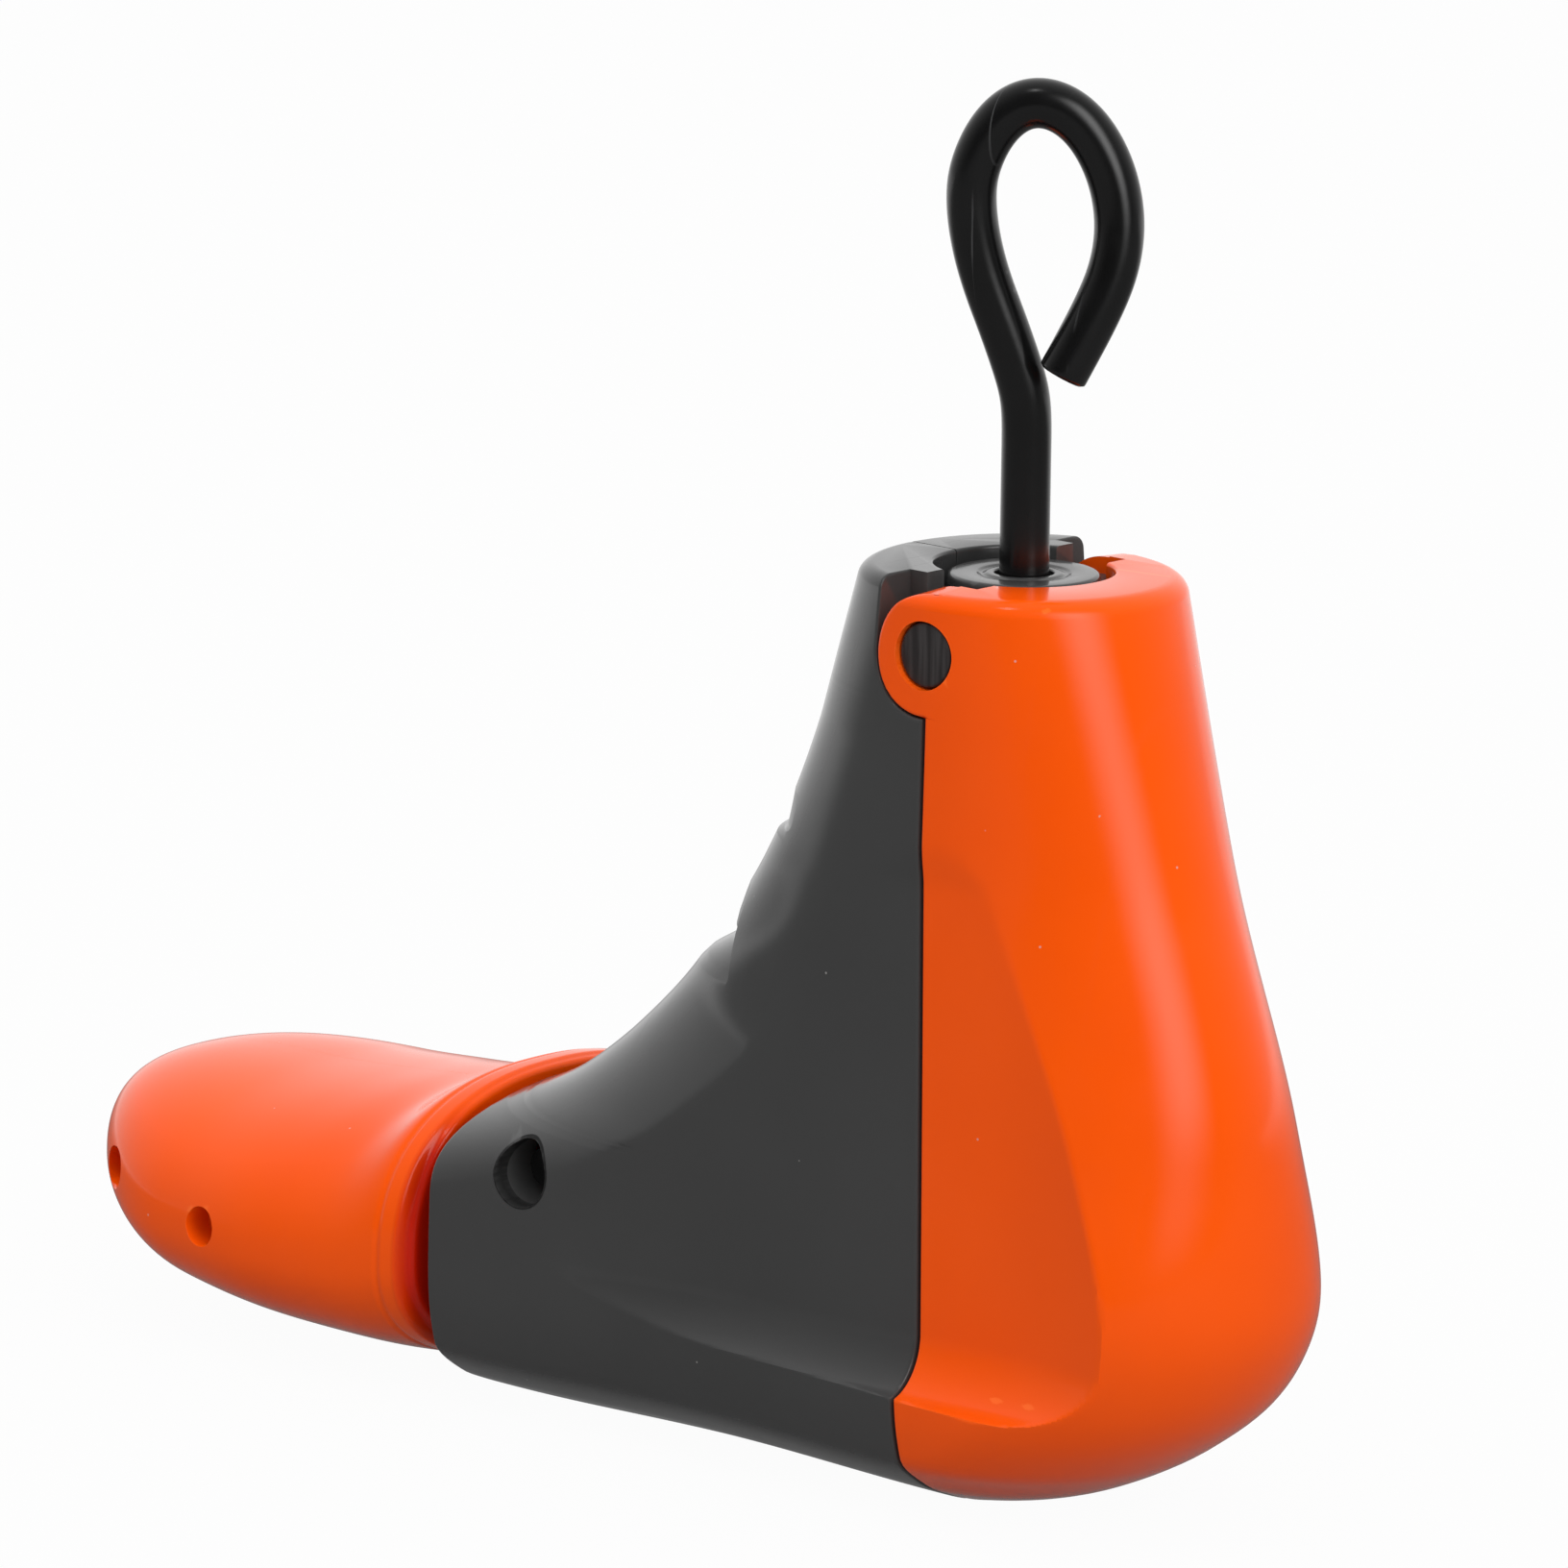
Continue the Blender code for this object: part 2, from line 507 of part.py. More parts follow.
def heel_shell(shared, mat):
    """The orange heel, with its two ears and the ribs whose slots the rear drive pin pushes."""
    name = "heel_shell"
    pivot = (PIVOT_X, 0, PIVOT_Z)
    shell = loft(name, [plan_loop(z) for z in body_levels()], parts, pivot)
    combine(shell, shared["cavity"], "DIFFERENCE")
    top = BODY_HEIGHT - HEEL_TOP_DROP
    outline = [(-FAR, -5), (seam_x(-5) - SEAM_GAP, -5), (seam_x(PIVOT_Z) - SEAM_GAP, PIVOT_Z),
               (seam_x(PIVOT_Z) - SEAM_GAP, top + 5), (-FAR, top + 5)]
    region = prism("heel_region", outline, -FAR, FAR, cutters)
    for side in (1, -1):
        ear = rod(f"heel_ear{side}", (PIVOT_X, side * EAR_INNER, PIVOT_Z), (PIVOT_X, side * FAR, PIVOT_Z),
                  EAR_RADIUS, cutters, 40)
        combine(region, ear, "UNION")
    combine(shell, region, "INTERSECT")
    ring_floor = BODY_HEIGHT - COLLAR_DEPTH
    swing = box("heel_swing_gap", (HEEL_RING_X, -EAR_INNER, ring_floor - 12), (FAR, EAR_INNER, top + 5), cutters)
    lug_room = rod("heel_lug_room", (PIVOT_X, -EAR_INNER, PIVOT_Z), (PIVOT_X, EAR_INNER, PIVOT_Z),
                   LUG_RADIUS + SWING_GAP, cutters, 32)
    trim = box("heel_top_trim", (-FAR, -FAR, top), (FAR, FAR, top + FAR), cutters)
    combine(shell, trim, "DIFFERENCE")
    combine(shell, combine(swing, lug_room, "UNION"), "DIFFERENCE")
    combine(shell, shared["pivot_bore"], "DIFFERENCE")
    slot = slot_outline(heel_slot_path(), SLOT_RADIUS)
    path = heel_slot_path()
    margin = SLOT_RADIUS + RIB_MARGIN
    low, high = path[0], path[-1]
    plate = [(-FAR, low[1] - margin), (low[0] + margin * 0.6, low[1] - margin),
             (low[0] + margin, low[1] - margin / 2), (high[0] + margin, high[1] - margin / 2),
             (high[0] + margin, high[1] + margin), (-FAR, high[1] + margin)]
    for side in (1, -1):
        near, far = sorted((side * RIB_INNER, side * (RIB_INNER + RIB_THICKNESS)))
        rib = prism(f"heel_rib{side}", plate, near, far, cutters)
        combine(rib, shared["inner_form"], "INTERSECT")
        combine(rib, prism(f"heel_slot{side}", slot, near - 1, far + 1, cutters), "DIFFERENCE")
        combine(shell, rib, "UNION")
    return finish(shell, mat)


def pivot_pin(side, mat):
    """A trunnion pin, from inside the swivel block to just below the ear's face."""
    end = COLLAR_RADIUS - PIVOT_RECESS
    name = "pivot_pin_left" if side > 0 else "pivot_pin_right"
    start = (PIVOT_X, side * PIVOT_INNER, PIVOT_Z)
    pin = rod(name, start, (PIVOT_X, side * end, PIVOT_Z), PIVOT_DIAMETER / 2, parts, 28, start)
    return finish(pin, mat)


def swivel_block(mat):
    """The turned block that the spindle turns in: a grooved top, a bore, a counterbore with a ring groove."""
    top = BODY_HEIGHT - BLOCK_DROP
    foot = top - BLOCK_LENGTH
    bore = ROD_RADIUS + PIN_FIT
    groove = foot + 1.0
    ring = RING_THICKNESS + GAP
    profile = [(BLOCK_RADIUS, top - 0.6), (BLOCK_RADIUS, foot), (COUNTERBORE_RADIUS, foot),
               (COUNTERBORE_RADIUS, groove), (COUNTERBORE_RADIUS + 0.7, groove),
               (COUNTERBORE_RADIUS + 0.7, groove + ring), (COUNTERBORE_RADIUS, groove + ring),
               (COUNTERBORE_RADIUS, foot + COUNTERBORE_DEPTH), (bore, foot + COUNTERBORE_DEPTH), (bore, top),
               (BLOCK_GROOVE_RADIUS - 0.4, top), (BLOCK_GROOVE_RADIUS, top - 0.3),
               (BLOCK_GROOVE_RADIUS + 0.4, top), (BLOCK_RADIUS - 0.6, top)]
    block = turned("swivel_block", profile, parts)
    for side in (1, -1):
        socket = rod(f"block_socket{side}", (PIVOT_X, side * (PIVOT_INNER - GAP), PIVOT_Z),
                     (PIVOT_X, side * FAR, PIVOT_Z), PIVOT_DIAMETER / 2 + PIN_FIT, cutters, 28)
        combine(block, socket, "DIFFERENCE")
    return finish(block, mat)


def ring_part(name, foot, height, bore, radius, mat, steps=36, at=None):
    """A plain ring round the spindle."""
    profile = [(radius, foot + height), (radius, foot), (bore, foot), (bore, foot + height)]
    return finish(turned(name, profile, parts, steps, at or (0, 0, foot)), mat)


def thrust_parts(steel):
    """Washer, thrust collar and retaining ring, stacked in the block's counterbore."""
    foot = BODY_HEIGHT - BLOCK_DROP - BLOCK_LENGTH
    ceiling = foot + COUNTERBORE_DEPTH
    bore = ROD_RADIUS + PIN_FIT
    radius = COUNTERBORE_RADIUS - 0.4
    washer_foot = ceiling - GAP - WASHER_THICKNESS
    ring_part("thrust_washer", washer_foot, WASHER_THICKNESS, bore, radius, steel)
    collar_foot = washer_foot - GAP - THRUST_LENGTH
    ring_part("thrust_collar", collar_foot, THRUST_LENGTH, bore, radius - 0.4, steel)
    ring_part("retaining_ring", foot + 1.0 + GAP / 2, RING_THICKNESS, COUNTERBORE_RADIUS - 2.6,
              COUNTERBORE_RADIUS + 0.7 - GAP, steel)


def smooth_path(points, count):
    """Evenly numbered points on the smooth curve through the given ones (Catmull-Rom)."""
    points = [Vector(p) for p in points]
    points = [2 * points[0] - points[1]] + points + [2 * points[-1] - points[-2]]
    path = []
    for k in range(1, len(points) - 2):
        a, b, c, d = points[k - 1:k + 3]
        for j in range(count):
            t = j / count
            path.append(0.5 * (2 * b + (c - a) * t + (2 * a - 5 * b + 4 * c - d) * t * t
                               + (3 * b - a - 3 * c + d) * t ** 3))
    return path + [points[-2]]


def hook_spindle(mat):
    """One bent rod: a straight threaded shank and an open eye, its end just clear of the shank."""
    turn = math.radians(HOOK_TURN)
    sideways = Vector((math.cos(turn), math.sin(turn), 0))
    towards = Vector((math.sin(turn), -math.cos(turn), 0))
    eye = [sideways * a + towards * c + Vector((0, 0, BODY_HEIGHT + h)) for a, h, c in EYE]
    path = [Vector((0, 0, SPINDLE_FOOT)), Vector((0, 0, 60)), Vector((0, 0, BODY_HEIGHT))] + smooth_path(eye[1:], 2)
    curve = bpy.data.curves.new("hook_spindle", "CURVE")
    curve.dimensions = "3D"
    curve.bevel_depth = ROD_RADIUS * MM
    curve.bevel_resolution = 4
    curve.use_fill_caps = True
    spline = curve.splines.new("POLY")
    spline.points.add(len(path) - 1)
    for point, p in zip(spline.points, path):
        point.co = (*(p * MM), 1)
    obj = place(bpy.data.objects.new("hook_spindle", curve), parts)
    curve.materials.append(mat)
    return obj


def hex_nut(name, foot, height, mat):
    """A steel hexagon nut round the spindle."""
    nut = rod(name, (0, 0, foot), (0, 0, foot + height), NUT_FLATS / math.sqrt(3), parts, 6, (0, 0, foot))
    bore = rod(name + "_bore", (0, 0, foot - 5), (0, 0, foot + height + 5), ROD_RADIUS + PIN_FIT, cutters, 24)
    return finish(combine(nut, bore, "DIFFERENCE"), mat)


def travelling_block(mat):
    """The moulded block that climbs the thread: a core round the drive nut, a lug behind and a lug ahead."""
    foot, top = TRAVEL_Z - CORE_HEIGHT / 2, TRAVEL_Z + CORE_HEIGHT / 2
    at = (0, 0, TRAVEL_Z)
    block = box("travelling_block", (-CORE_HALF, -CORE_HALF, foot), (CORE_HALF, CORE_HALF, top), parts, at)
    reach = DRIVE_PIN_X + DRIVE_PIN_DIAMETER / 2 + 1.6
    low, high = TRAVEL_Z - LUG_HEIGHT / 2, TRAVEL_Z + LUG_HEIGHT / 2
    outline = [(-reach, low + 2), (-reach + 2, low), (reach - 2, low), (reach, low + 2), (reach, high - 2),
               (reach - 2, high), (-reach + 2, high), (-reach, high - 2)]
    combine(block, prism("block_lugs", outline, -LUG_HALF, LUG_HALF, cutters), "UNION")
    pocket_foot = top - DRIVE_NUT_HEIGHT - GAP
    pocket = rod("block_nut_pocket", (0, 0, pocket_foot), (0, 0, top + 5), (NUT_FLATS + 2 * GAP) / math.sqrt(3),
                 cutters, 6)
    combine(block, pocket, "DIFFERENCE")
    bore = rod("block_bore", (0, 0, foot - 5), (0, 0, top + 5), ROD_RADIUS + PIN_FIT, cutters, 24)
    combine(block, bore, "DIFFERENCE")
    for place_x in (-DRIVE_PIN_X, DRIVE_PIN_X):
        hole = rod(f"block_hole{place_x}", (place_x, -FAR, TRAVEL_Z), (place_x, FAR, TRAVEL_Z), SLOT_RADIUS, cutters)
        combine(block, hole, "DIFFERENCE")
    hex_nut("drive_nut", pocket_foot + GAP / 2 + 0.15, DRIVE_NUT_HEIGHT, steel_material())
    return finish(block, mat)


def cross_rod(name, x, z, half, diameter, mat):
    """A steel pin across the stretcher."""
    return finish(rod(name, (x, -half, z), (x, half, z), diameter / 2, parts, 24, (x, 0, z)), mat)


def spreader(mat):
    """Two slotted cheeks, a web, a bar and the plow that parts the toe's tongues."""
    at = (DRIVE_PIN_X, 0, TRAVEL_Z)
    margin = SLOT_RADIUS + RIB_MARGIN
    low, high = wedge_slot_path()
    web_x = DRIVE_PIN_X + DRIVE_PIN_DIAMETER / 2 + WEB_SPACE
    web_end = web_x + WEB_THICKNESS
    web_top = PLOW_FLOOR + WEB_HEIGHT
    outer = RIB_INNER + RIB_THICKNESS
    cheek = [(low[0] - margin * 0.86, low[1] - margin * 0.5), (high[0] - margin * 0.86, high[1] - margin * 0.5),
             (high[0] - margin * 0.9, high[1] + margin * 0.4), (high[0] - margin * 0.3, high[1] + margin),
             (high[0] + margin * 0.86, high[1] + margin * 0.7), (web_end, web_top + 1), (web_end, low[1] - 1),
             (web_x, low[1] - margin), (low[0] - margin * 0.2, low[1] - margin)]
    body = box("toe_spreader", (web_x, -outer, low[1] - margin * 0.5), (web_end, outer, web_top), parts, at)
    slot = slot_outline([low, ((low[0] + high[0]) / 2, (low[1] + high[1]) / 2), high], SLOT_RADIUS)
    for side in (1, -1):
        near, far = sorted((side * RIB_INNER, side * outer))
        plate = prism(f"spreader_cheek{side}", cheek, near, far, cutters)
        combine(plate, prism(f"spreader_slot{side}", slot, near - 1, far + 1, cutters), "DIFFERENCE")
        combine(body, plate, "UNION")
    bar_top = PLOW_FLOOR + BAR_HEIGHT
    bar = box("spreader_bar", (web_end - 1, -BAR_HALF, PLOW_FLOOR), (PLOW_REAR_X + 1, BAR_HALF, bar_top), cutters)
    combine(body, bar, "UNION")
    plan = [(PLOW_REAR_X, -plow_half(PLOW_REAR_X)), (PLOW_TIP_X, -PLOW_TIP_HALF), (PLOW_TIP_X, PLOW_TIP_HALF),
            (PLOW_REAR_X, plow_half(PLOW_REAR_X))]
    plow = prism("spreader_plow", plan, PLOW_FLOOR, PLOW_TOP, cutters, "Z")
    side_view = [(PLOW_REAR_X - 5, PLOW_FLOOR - 5), (PLOW_TIP_X + 1, PLOW_FLOOR - 5), (PLOW_TIP_X + 1, CROSS_Z - 2),
                 (PLOW_CREST_X, PLOW_TOP), (PLOW_CREST_X, PLOW_TOP + 1), (PLOW_REAR_X - 5, PLOW_TOP + 1)]
    combine(plow, prism("spreader_plow_side", side_view, -FAR, FAR, cutters), "INTERSECT")
    room = body_form("spreader_room", cutters, WALL + 2 * GAP)
    room.location.x -= WEDGE_TRAVEL * MM
    combine(plow, room, "INTERSECT")
    combine(body, plow, "UNION")
    cross_slot = slot_outline([(CROSS_X - WEDGE_TRAVEL, CROSS_Z), (CROSS_X - WEDGE_TRAVEL / 2, CROSS_Z),
                               (CROSS_X, CROSS_Z)], CROSS_DIAMETER / 2 + PIN_FIT)
    combine(body, prism("spreader_cross_slot", cross_slot, -FAR, FAR, cutters), "DIFFERENCE")
    return finish(body, mat)


def toe_stations():
    """Distances of the toe's cross-sections, closer at the rim and at the tip."""
    nose_start = TOE_REACH - TOE_NOSE
    rim = [TOE_X + RIM_RADIUS * (1 - math.cos(a)) for a in np.linspace(0.25, math.pi / 2, 4)]
    middle = list(np.linspace(TOE_X + 6, nose_start, 7))
    tip = [nose_start + TOE_NOSE * math.sin(a) for a in np.linspace(0, 1.54, 9)[1:]]
    return rim + middle + tip


def toe_half_part(side, mat):
    """One half of the orange toe: outer form, neck and tongue, hollow, with two plug sockets."""
    name = "toe_half_left" if side > 0 else "toe_half_right"
    at = (CROSS_X, 0, CROSS_Z)
    half = loft(name, [toe_loop(x) for x in toe_stations()], parts, at)
    neck_loops = []
    for x in (NECK_X, TOE_X + 4):
        height = (NECK_TOP - NECK_FLOOR) / 2
        middle = (NECK_TOP + NECK_FLOOR) / 2
        loop = []
        for t in np.arange(32) * 2 * math.pi / 32:
            c, s = math.cos(t), math.sin(t)
            rise = math.copysign(height * abs(s) ** 0.7, s)
            loop.append((x, math.copysign(NECK_HALF * abs(c) ** 0.7, c), middle + rise))
        neck_loops.append(loop)
    stem = loft(name + "_neck", neck_loops, cutters)
    plan = [(TONGUE_X, -TONGUE_HALF), (NECK_X + 2, -TONGUE_HALF), (NECK_X + 2, TONGUE_HALF), (TONGUE_X, TONGUE_HALF)]
    tongue_side = [(TONGUE_X, PLOW_FLOOR), (NECK_X + 2, PLOW_FLOOR), (NECK_X + 2, NECK_TOP - 4),
                   (PLOW_CREST_X, TONGUE_TOP), (TONGUE_X, TONGUE_TOP)]
    tongue = prism(name + "_tongue", plan, PLOW_FLOOR, TONGUE_TOP, cutters, "Z")
    combine(tongue, prism(name + "_tongue_side", tongue_side, -FAR, FAR, cutters), "INTERSECT")
    combine(stem, tongue, "UNION")
    for shift in (0, TOE_SPREAD):
        limit = body_form(f"{name}_limit{shift:.0f}", cutters, WALL + 2 * GAP)
        limit.location.y -= side * shift * MM
        combine(stem, limit, "INTERSECT")
    combine(half, stem, "UNION")
    shares = (0.034, 0.11, 0.27, 0.43, 0.6, 0.71, 0.82, 0.9)
    hollow_stations = [TOE_X + share * (TOE_REACH - TOE_X) for share in shares]
    hollow_stations.append(TOE_REACH - TOE_WALL - HOLLOW_END)
    hollow = loft(name + "_hollow", [toe_loop(x, TOE_WALL, 28) for x in hollow_stations], cutters)
    keep_near, keep_far = sorted((side * (MEDIAN_GAP / 2 + TOE_WALL), side * FAR))
    combine(hollow, box(name + "_hollow_side", (0, keep_near, -FAR), (TOE_REACH + FAR, keep_far, FAR),
                          cutters), "INTERSECT")
    combine(half, hollow, "DIFFERENCE")
    clear = PLOW_TIP_HALF + GAP
    rear = TONGUE_X - 1
    reach = PLOW_TIP_X + WEDGE_TRAVEL + 1
    wedge_plan = [(rear, 0), (rear, side * (plow_half(rear) + GAP)), (PLOW_TIP_X, side * clear),
                  (reach, side * (clear - 0.01)), (reach, 0)]
    room = prism(name + "_wedge_room", wedge_plan, PLOW_FLOOR - 1, FAR, cutters, "Z")
    crest = PLOW_CREST_X + WEDGE_TRAVEL + 1
    roof = [(rear - 1, PLOW_FLOOR - 1), (reach + 1, PLOW_FLOOR - 1), (reach + 1, CROSS_Z - 1),
            (crest, PLOW_TOP + GAP), (crest, FAR), (rear - 1, FAR)]
    combine(room, prism(name + "_wedge_roof", roof, -FAR, FAR, cutters), "INTERSECT")
    combine(half, room, "DIFFERENCE")
    near, far = sorted((side * MEDIAN_GAP / 2, side * FAR))
    combine(half, box(name + "_side", (0, near, -FAR), (TOE_REACH + FAR, far, FAR), cutters), "INTERSECT")
    hole = rod(name + "_cross_hole", (CROSS_X, 0, CROSS_Z), (CROSS_X, side * FAR, CROSS_Z),
               CROSS_DIAMETER / 2 + PIN_FIT, cutters, 24)
    combine(half, hole, "DIFFERENCE")
    for index, (x, z) in enumerate(PLUG_PLACES):
        plug = rod(f"{name}_plug{index}", (x, side * 12, z), (x, side * FAR, z), PLUG_DIAMETER / 2, cutters, 20)
        combine(half, plug, "DIFFERENCE")
    return finish(half, mat)


def body_screw(index, mat):
    """A countersunk-in screw from the right half into the left."""
    x, z = SCREW_PLACES[index]
    seat = -SCREW_LENGTH / 2 - GAP
    head_end = seat - SCREW_HEAD_HEIGHT
    name = f"body_screw_{index + 1}"
    at = (x, seat, z)
    screw = rod(name, (x, seat, z), (x, head_end, z), SCREW_HEAD_DIAMETER / 2, parts, 20, at)
    shank = rod(name + "_shank", (x, seat - 1, z), (x, SCREW_LENGTH / 2, z), SCREW_DIAMETER / 2, cutters, 12)
    combine(screw, shank, "UNION")
    for turn in (0, math.pi / 2):
        bar = box(f"{name}_cross{turn:.0f}", (-2, head_end - 1, -0.45), (2, head_end + 1.4, 0.45), cutters)
        bar.location = (x * MM, 0, z * MM)
        bar.rotation_euler = (0, turn, 0)
        combine(screw, bar, "DIFFERENCE")
    return finish(screw, mat)


def steel_material():
    """Bright steel for pins, washers and nuts."""
    return material("bright_steel", (0.55, 0.55, 0.56), 0.3, 1.0)


def build():
    """Clears the scene and makes every piece."""
    global parts, cutters, frame
    for obj in list(bpy.data.objects):
        bpy.data.objects.remove(obj)
    parts = bpy.data.collections.new("shoe_stretcher")
    cutters = bpy.data.collections.new("cutters")
    bpy.context.scene.collection.children.link(parts)
    bpy.context.scene.collection.children.link(cutters)
    frame = bpy.data.objects.new("stretcher_frame", None)
    frame.location = (FRAME_X * MM, 0, 0)
    parts.objects.link(frame)

    orange = material("orange_abs", (0.85, 0.11, 0.01), 0.28)
    grey = material("grey_abs", (0.06, 0.06, 0.062), 0.32)
    black = material("black_coated_steel", (0.012, 0.012, 0.013), 0.35)
    dark = material("dark_pin", (0.015, 0.014, 0.014), 0.4)
    steel = steel_material()

    shared = make_cutters()
    for side in (1, -1):
        body_shell(side, shared, grey)
        pivot_pin(side, dark)
        toe_half_part(side, orange)
    heel_shell(shared, orange)
    swivel_block(grey)
    thrust_parts(steel)
    hook_spindle(black)
    travelling_block(grey)
    hex_nut("stop_nut", SPINDLE_FOOT + 1, STOP_NUT_HEIGHT, steel)
    cross_rod("rear_drive_pin", -DRIVE_PIN_X, TRAVEL_Z, DRIVE_PIN_HALF, DRIVE_PIN_DIAMETER, steel)
    cross_rod("front_drive_pin", DRIVE_PIN_X, TRAVEL_Z, DRIVE_PIN_HALF, DRIVE_PIN_DIAMETER, steel)
    cross_rod("cross_pin", CROSS_X, CROSS_Z, CROSS_HALF, CROSS_DIAMETER, steel)
    spreader(grey)
    for index in range(len(SCREW_PLACES)):
        body_screw(index, steel)


build()
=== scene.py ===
# %% [markdown]
# # A two-way shoe stretcher
#
# The object is a foot-shaped tool: a hollow grey body in two halves, an orange heel that swings on a
# pivot at the collar, an orange toe in two halves that part, and a black screw spindle with an open eye
# to turn it by.  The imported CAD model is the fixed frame.  Its inner steel parts stay and only get
# finishes; the parts with flowing outsides are made again here as finer surfaces in the same place.

# %% Load the frame
import json
import math

import bmesh
import bpy
import numpy as np
from mathutils import Matrix, Vector

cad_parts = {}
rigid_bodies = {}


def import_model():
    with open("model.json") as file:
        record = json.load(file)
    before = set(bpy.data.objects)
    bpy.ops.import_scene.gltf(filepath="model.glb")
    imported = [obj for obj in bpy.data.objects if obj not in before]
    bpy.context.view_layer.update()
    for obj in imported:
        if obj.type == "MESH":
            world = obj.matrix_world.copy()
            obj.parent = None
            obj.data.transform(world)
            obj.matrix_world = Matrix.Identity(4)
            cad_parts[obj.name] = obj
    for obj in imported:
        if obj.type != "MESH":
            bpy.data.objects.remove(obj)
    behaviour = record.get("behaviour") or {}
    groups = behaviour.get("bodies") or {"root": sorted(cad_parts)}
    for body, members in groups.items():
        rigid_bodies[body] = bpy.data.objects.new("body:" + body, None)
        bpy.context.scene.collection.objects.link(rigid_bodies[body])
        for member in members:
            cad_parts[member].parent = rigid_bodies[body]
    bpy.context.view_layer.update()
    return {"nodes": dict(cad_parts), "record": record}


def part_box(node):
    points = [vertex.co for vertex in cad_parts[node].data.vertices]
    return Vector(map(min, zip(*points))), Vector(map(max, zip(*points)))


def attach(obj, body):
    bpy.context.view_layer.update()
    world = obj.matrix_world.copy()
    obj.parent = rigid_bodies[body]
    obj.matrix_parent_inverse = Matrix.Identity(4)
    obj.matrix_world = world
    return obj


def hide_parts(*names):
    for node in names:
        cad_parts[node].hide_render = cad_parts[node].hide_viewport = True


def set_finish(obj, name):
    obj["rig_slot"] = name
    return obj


for thing in list(bpy.data.objects):  # the start-up cube, lamp and camera
    bpy.data.objects.remove(thing)
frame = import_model()
block_low, block_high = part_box("swivel_block")
SPINDLE_X = (block_low.x + block_high.x) * 500
print("spindle axis at x =", round(SPINDLE_X, 2), "mm; nodes:", len(frame["nodes"]))

# %% [markdown]
# ## Measures
#
# All shapes below are worked out in millimetres, with the spindle's axis at x = 0, y = 0 and the sole
# on z = 0, because a maker measures such a moulding from its spindle.  One helper, `skin`, moves them
# into the frame.  The driving sizes repeat the CAD's, since a piece has to stay where its node is.  A
# flowing outline is kept as a short table of (place, size) pairs: few numbers, each of them a measure
# that can be checked.

# %% Sizes of the mouldings
BODY_TOP, HEEL_TOP = 142.7, 141.4
COLLAR_RADIUS, BORE_RADIUS = 24.1, 13.6
RING_FOOT, RING_FLOOR = 114.0, 121.7  # between these heights the wall thickens into the collar's ring
WALL, SOLE_WALL = 2.6, 3.0
OPENING_X, MEDIAN = 91.0, 0.15  # the body's mouth; half the gap between the two halves
SEAM_FOOT_X, SEAM_TOP_X, SEAM_GAP = -3.0, -1.7, 0.6
PIVOT_X, PIVOT_Z = -1.5, 132.0
EAR_RADIUS, EAR_INNER, POCKET_RADIUS, POCKET_LEDGE = 9.2, 16.9, 9.55, 16.55
RING_END_X, HEEL_RING_X = 4.7, -5.5  # where the body's ring and the heel's ring end
PIN_BORE, PIN_RADIUS = 5.2, 4.9
ROD_RADIUS = 3.75
EDGE = 0.45  # radius of a moulding's rounded edge
TABLE_STEP = 0.25  # spacing of the tables that hold the softened outlines

# Plan outlines against height: reach of the ridge and of the back, half width, lengths of the two ends.
RIDGE = [(0, 176), (20, 150), (40, 118.8), (48, 89.8), (56, 77.6), (66, 66.2), (73, 59.0), (77.5, 54.9),
         (82, 50.9), (96, 41.1), (112, 34.0), (128, 28.8), (BODY_TOP, COLLAR_RADIUS)]
BACK = [(0, 10.8), (1.5, 17.5), (4, 24.1), (10, 34.9), (20, 46.2), (34, 51.4), (60, 48.6), (100, 36.1),
        (BODY_TOP, COLLAR_RADIUS)]
HALF_WIDTH = [(0, 13.5), (1.5, 17.3), (4, 22.7), (10, 29.2), (20, 30.7), (34, 30.4), (60, 27.9), (100, 25.4),
              (BODY_TOP, COLLAR_RADIUS)]
TAIL = [(0, 29.5), (30, 27.1), (80, 38.8), (110, 32), (BODY_TOP, COLLAR_RADIUS)]
NOSE = [(40, 46), (52, 57.1), (66, 61.4), (82, 36.2), (112, 28.5), (BODY_TOP, COLLAR_RADIUS)]
NOSE_POWER = [(46, 2.5), (52, 2.27), (60, 2.2), (96, 2.2), (118, 2.0)]  # 2 is an ellipse, more is squarer

# The flat panel on each side, against x: its distance from the middle plane.
PANEL = [(-50, 26), (-38, 24.8), (-33, 23.9), (-21, 23.3), (-12, 23.9), (-3, 24.8), (7.4, 25.8), (16, 26.4),
         (26.8, 26.8), (37.2, 27.7), (48.2, 30.1), (59.8, 32.6), (66, 33.7), (80, 39.4)]
PANEL_SOFT = 0.25  # how softly the panel meets the flank
LEDGE_TOP, LEDGE_HEIGHT, LEDGE_DEPTH = 28.5, 9.5, 8.0  # the ledge under the panel
PANEL_DRAFT, DRAFT_FROM = 0.11, 98  # above this height the panel leans outwards
SWELL, WAIST, WAIST_TOP = 4.0, 2.5, 40  # the flank swells towards the ball, and is drawn in low at the waist
print("body", BODY_TOP, "mm high, collar", 2 * COLLAR_RADIUS, "mm across")


